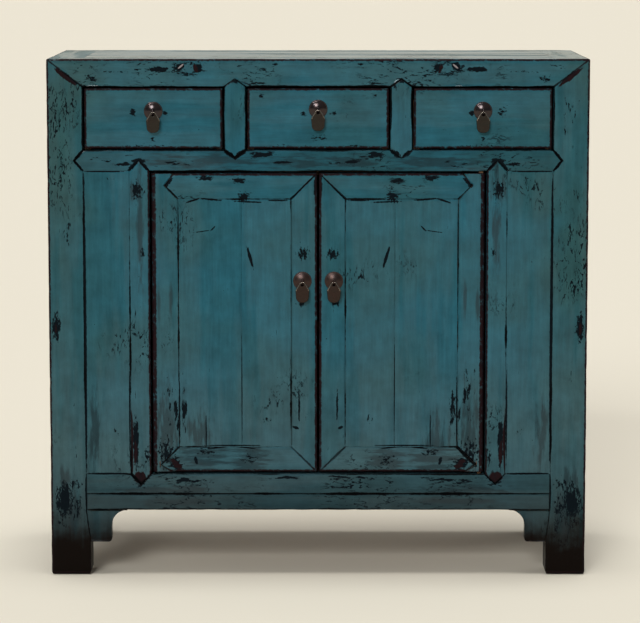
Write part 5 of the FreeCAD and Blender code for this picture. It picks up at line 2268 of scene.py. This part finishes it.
    def _drop_blank(self) -> Timber:
        """The drop before its edges are eased: its left half, thickened and doubled.

        Returns:
            The blank.
        """
        piece = Timber()
        mesh = piece.mesh
        low, high = self.drop
        half, hole = (high.x - low.x) / 2, self.z - self.hole_fall
        start, centre = (0.0, low.y, hole - self.hole), (0.0, low.y, hole)
        rim = piece.add_arc(start, centre, math.pi, self.hole_chords)
        corners = (
            (-self.neck * self.neck_taper, high.z), (-half, self.z - self.shoulder_fall),
            (-self.foot_half, low.z), (0.0, high.z), (0.0, low.z),
        )
        neck, side, foot, head, tail = (mesh.verts.new((x, low.y, z)) for x, z in corners)
        mesh.faces.new([head, neck, side, foot, tail, *rim])
        rounds = ((neck, self.neck / 2), (side, self.neck / 2), (foot, self.foot_round))
        for vert, radius in rounds:
            bmesh.ops.bevel(
                mesh, geom=[vert], offset=radius, offset_type="OFFSET",
                segments=self.corner_facets, profile=0.5, affect="VERTICES", material=-1,
                clamp_overlap=True,
            )
        mesh.faces.ensure_lookup_table()
        piece.thicken(mesh.faces[0], BACK * (high.y - low.y))
        middle = [face for face in mesh.faces if all(near(v.co.x, 0.0) for v in face.verts)]
        bmesh.ops.delete(mesh, geom=middle, context="FACES")
        piece.twin()
        bmesh.ops.translate(mesh, verts=mesh.verts[:], vec=RIGHT * self.x)
        return piece


@dataclass(frozen=True)
class Lamp:
    """A broad lamp far off.

    It has a power on a square surface, a height above the horizon, a turn to the right of the front
    and a width as it looks from the cabinet, these three in degrees, and it may stay out of gloss.
    """

    name: str
    strength: float
    height: float
    turn: float
    width: float
    gleams: bool = True

    def build(self) -> None:
        """Sets up the lamp."""
        lamp = bpy.data.lights.new(self.name, "SUN")
        lamp.energy = self.strength
        lamp.angle = math.radians(self.width)
        made = bpy.data.objects.new(self.name, lamp)
        made.visible_glossy = self.gleams
        rise, turn = math.radians(self.height), math.radians(self.turn)
        level = Vector((math.sin(turn), -math.cos(turn), 0.0))
        towards = level * math.cos(rise) + UP * math.sin(rise)
        made.rotation_euler = towards.to_track_quat("Z", "Y").to_euler()
        bpy.context.scene.collection.objects.link(made)


@dataclass(frozen=True)
class Studio:
    """A pale floor, a soft sky with a pale wall behind the cabinet, and lamps.

    The lamps stand above, in front, and behind each side.
    """

    floor: Colour = (0.729, 0.680, 0.571)
    floor_rough: float = 0.9
    floor_specular: float = 0.1
    reach: float = 120.0
    backdrop: Colour = (0.812, 0.765, 0.648)
    light: Colour = (1.0, 0.985, 0.96)
    dim: float = 0.12
    overhead: float = 0.18
    wall: float = 0.10
    wall_step: Span = (-0.1, 0.6)
    lamps: tuple[Lamp, ...] = (
        Lamp("top_lamp", 1.90, 89.0, 0.0, 24.0),
        Lamp("key_lamp", 1.48, 26.0, -14.0, 18.0),
        Lamp("glint_lamp", 0.22, 30.0, -28.0, 4.0),
        Lamp("left_fill_lamp", 0.29, 14.0, -120.0, 30.0, gleams=False),
        Lamp("right_fill_lamp", 0.29, 14.0, 120.0, 30.0, gleams=False),
    )

    def build(self) -> None:
        """Builds the floor, the sky and the lamps."""
        self._floor()
        self._sky()
        for lamp in self.lamps:
            lamp.build()

    def _floor(self) -> None:
        """The floor, far wider than the view."""
        mesh = bmesh.new()
        bmesh.ops.create_grid(mesh, x_segments=1, y_segments=1, size=self.reach)
        data = bpy.data.meshes.new("floor")
        mesh.to_mesh(data)
        mesh.free()
        data.materials.append(Shader.material("pale_floor").surface({
            "Base Color": (*self.floor, 1.0),
            "Roughness": self.floor_rough,
            "Specular IOR Level": self.floor_specular,
        }))
        made = bpy.data.objects.new("floor", data)
        bpy.context.scene.collection.objects.link(made)

    def _sky(self) -> None:
        """A soft sky, brighter overhead, whose back wall is pale to the camera and in gloss."""
        world = bpy.data.worlds.new("studio_sky")
        bpy.context.scene.world = world
        s = Shader(world)
        way = s.node("ShaderNodeSeparateXYZ", {}, {0: s.node("ShaderNodeTexCoord", {}, {})})
        back = way.part("Y").rise(*self.wall_step)
        level = self.dim + (way.part("Z").most(0.0) * self.overhead + back * self.wall)
        sockets = {"Color": (*self.light, 1.0), "Strength": level}
        light = s.node("ShaderNodeBackground", {}, sockets)
        seen = s.node("ShaderNodeBackground", {}, {"Color": (*self.backdrop, 1.0)})
        camera = s.node("ShaderNodeLightPath", {}, {}).part("Is Camera Ray")
        pale = camera.most(camera.part("Is Glossy Ray") * back)
        mixed = s.node("ShaderNodeMixShader", {}, {0: pale, 1: light, 2: seen})
        s.node("ShaderNodeOutputWorld", {}, {"Surface": mixed})


@dataclass(frozen=True)
class Viewpoint:
    """Where the photograph was taken from."""

    side: float = 0.0033
    distance: float = 5.2
    height: float = 1.1438
    tilt: float = 7.295
    lens: float = 165.54
    sensor: float = 36.0
    farthest: float = 400.0

    def build(self, front: float) -> None:
        """Sets up the camera.

        Args:
            front: Where the cabinet's front lies.
        """
        camera = bpy.data.cameras.new("camera")
        camera.lens = self.lens
        camera.sensor_width = self.sensor
        camera.clip_end = self.farthest
        made = bpy.data.objects.new("camera", camera)
        made.location = (self.side, front - self.distance, self.height)
        made.rotation_euler = (math.radians(90.0 - self.tilt), 0.0, 0.0)
        bpy.context.scene.collection.objects.link(made)
        bpy.context.scene.camera = made


def main() -> None:
    """Loads the frame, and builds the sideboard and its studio."""
    logging.basicConfig(level=logging.INFO, format="%(name)s: %(message)s")
    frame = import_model()
    lines = Lines.read()
    finishes = Finishes(lines)
    shared = {"lines": lines, "finishes": finishes, "nodes": frame["nodes"]}
    pieces = Carcase(**shared).build()
    for hand in Hand:
        owner = f"{hand.value}_door"
        pieces += Door(**shared, hand=hand).build()
        pieces += Pull(owner, finishes.door_plates, finishes.door_drops, lines.front).build()
    for place in ("left", "centre", "right"):
        owner = f"{place}_drawer"
        pieces += Drawer(**shared, name=owner).build()
        pieces += Pull(owner, finishes.drawer_plates, finishes.drawer_drops, lines.front).build()
    Studio().build()
    Viewpoint().build(lines.front)
    bpy.context.scene.view_settings.view_transform = "Standard"
    bpy.context.view_layer.update()
    faces = sum(len(piece.data.polygons) for piece in pieces)
    LOG.info("%d pieces with %d faces", len(pieces), faces)


if __name__ == "__main__":
    main()
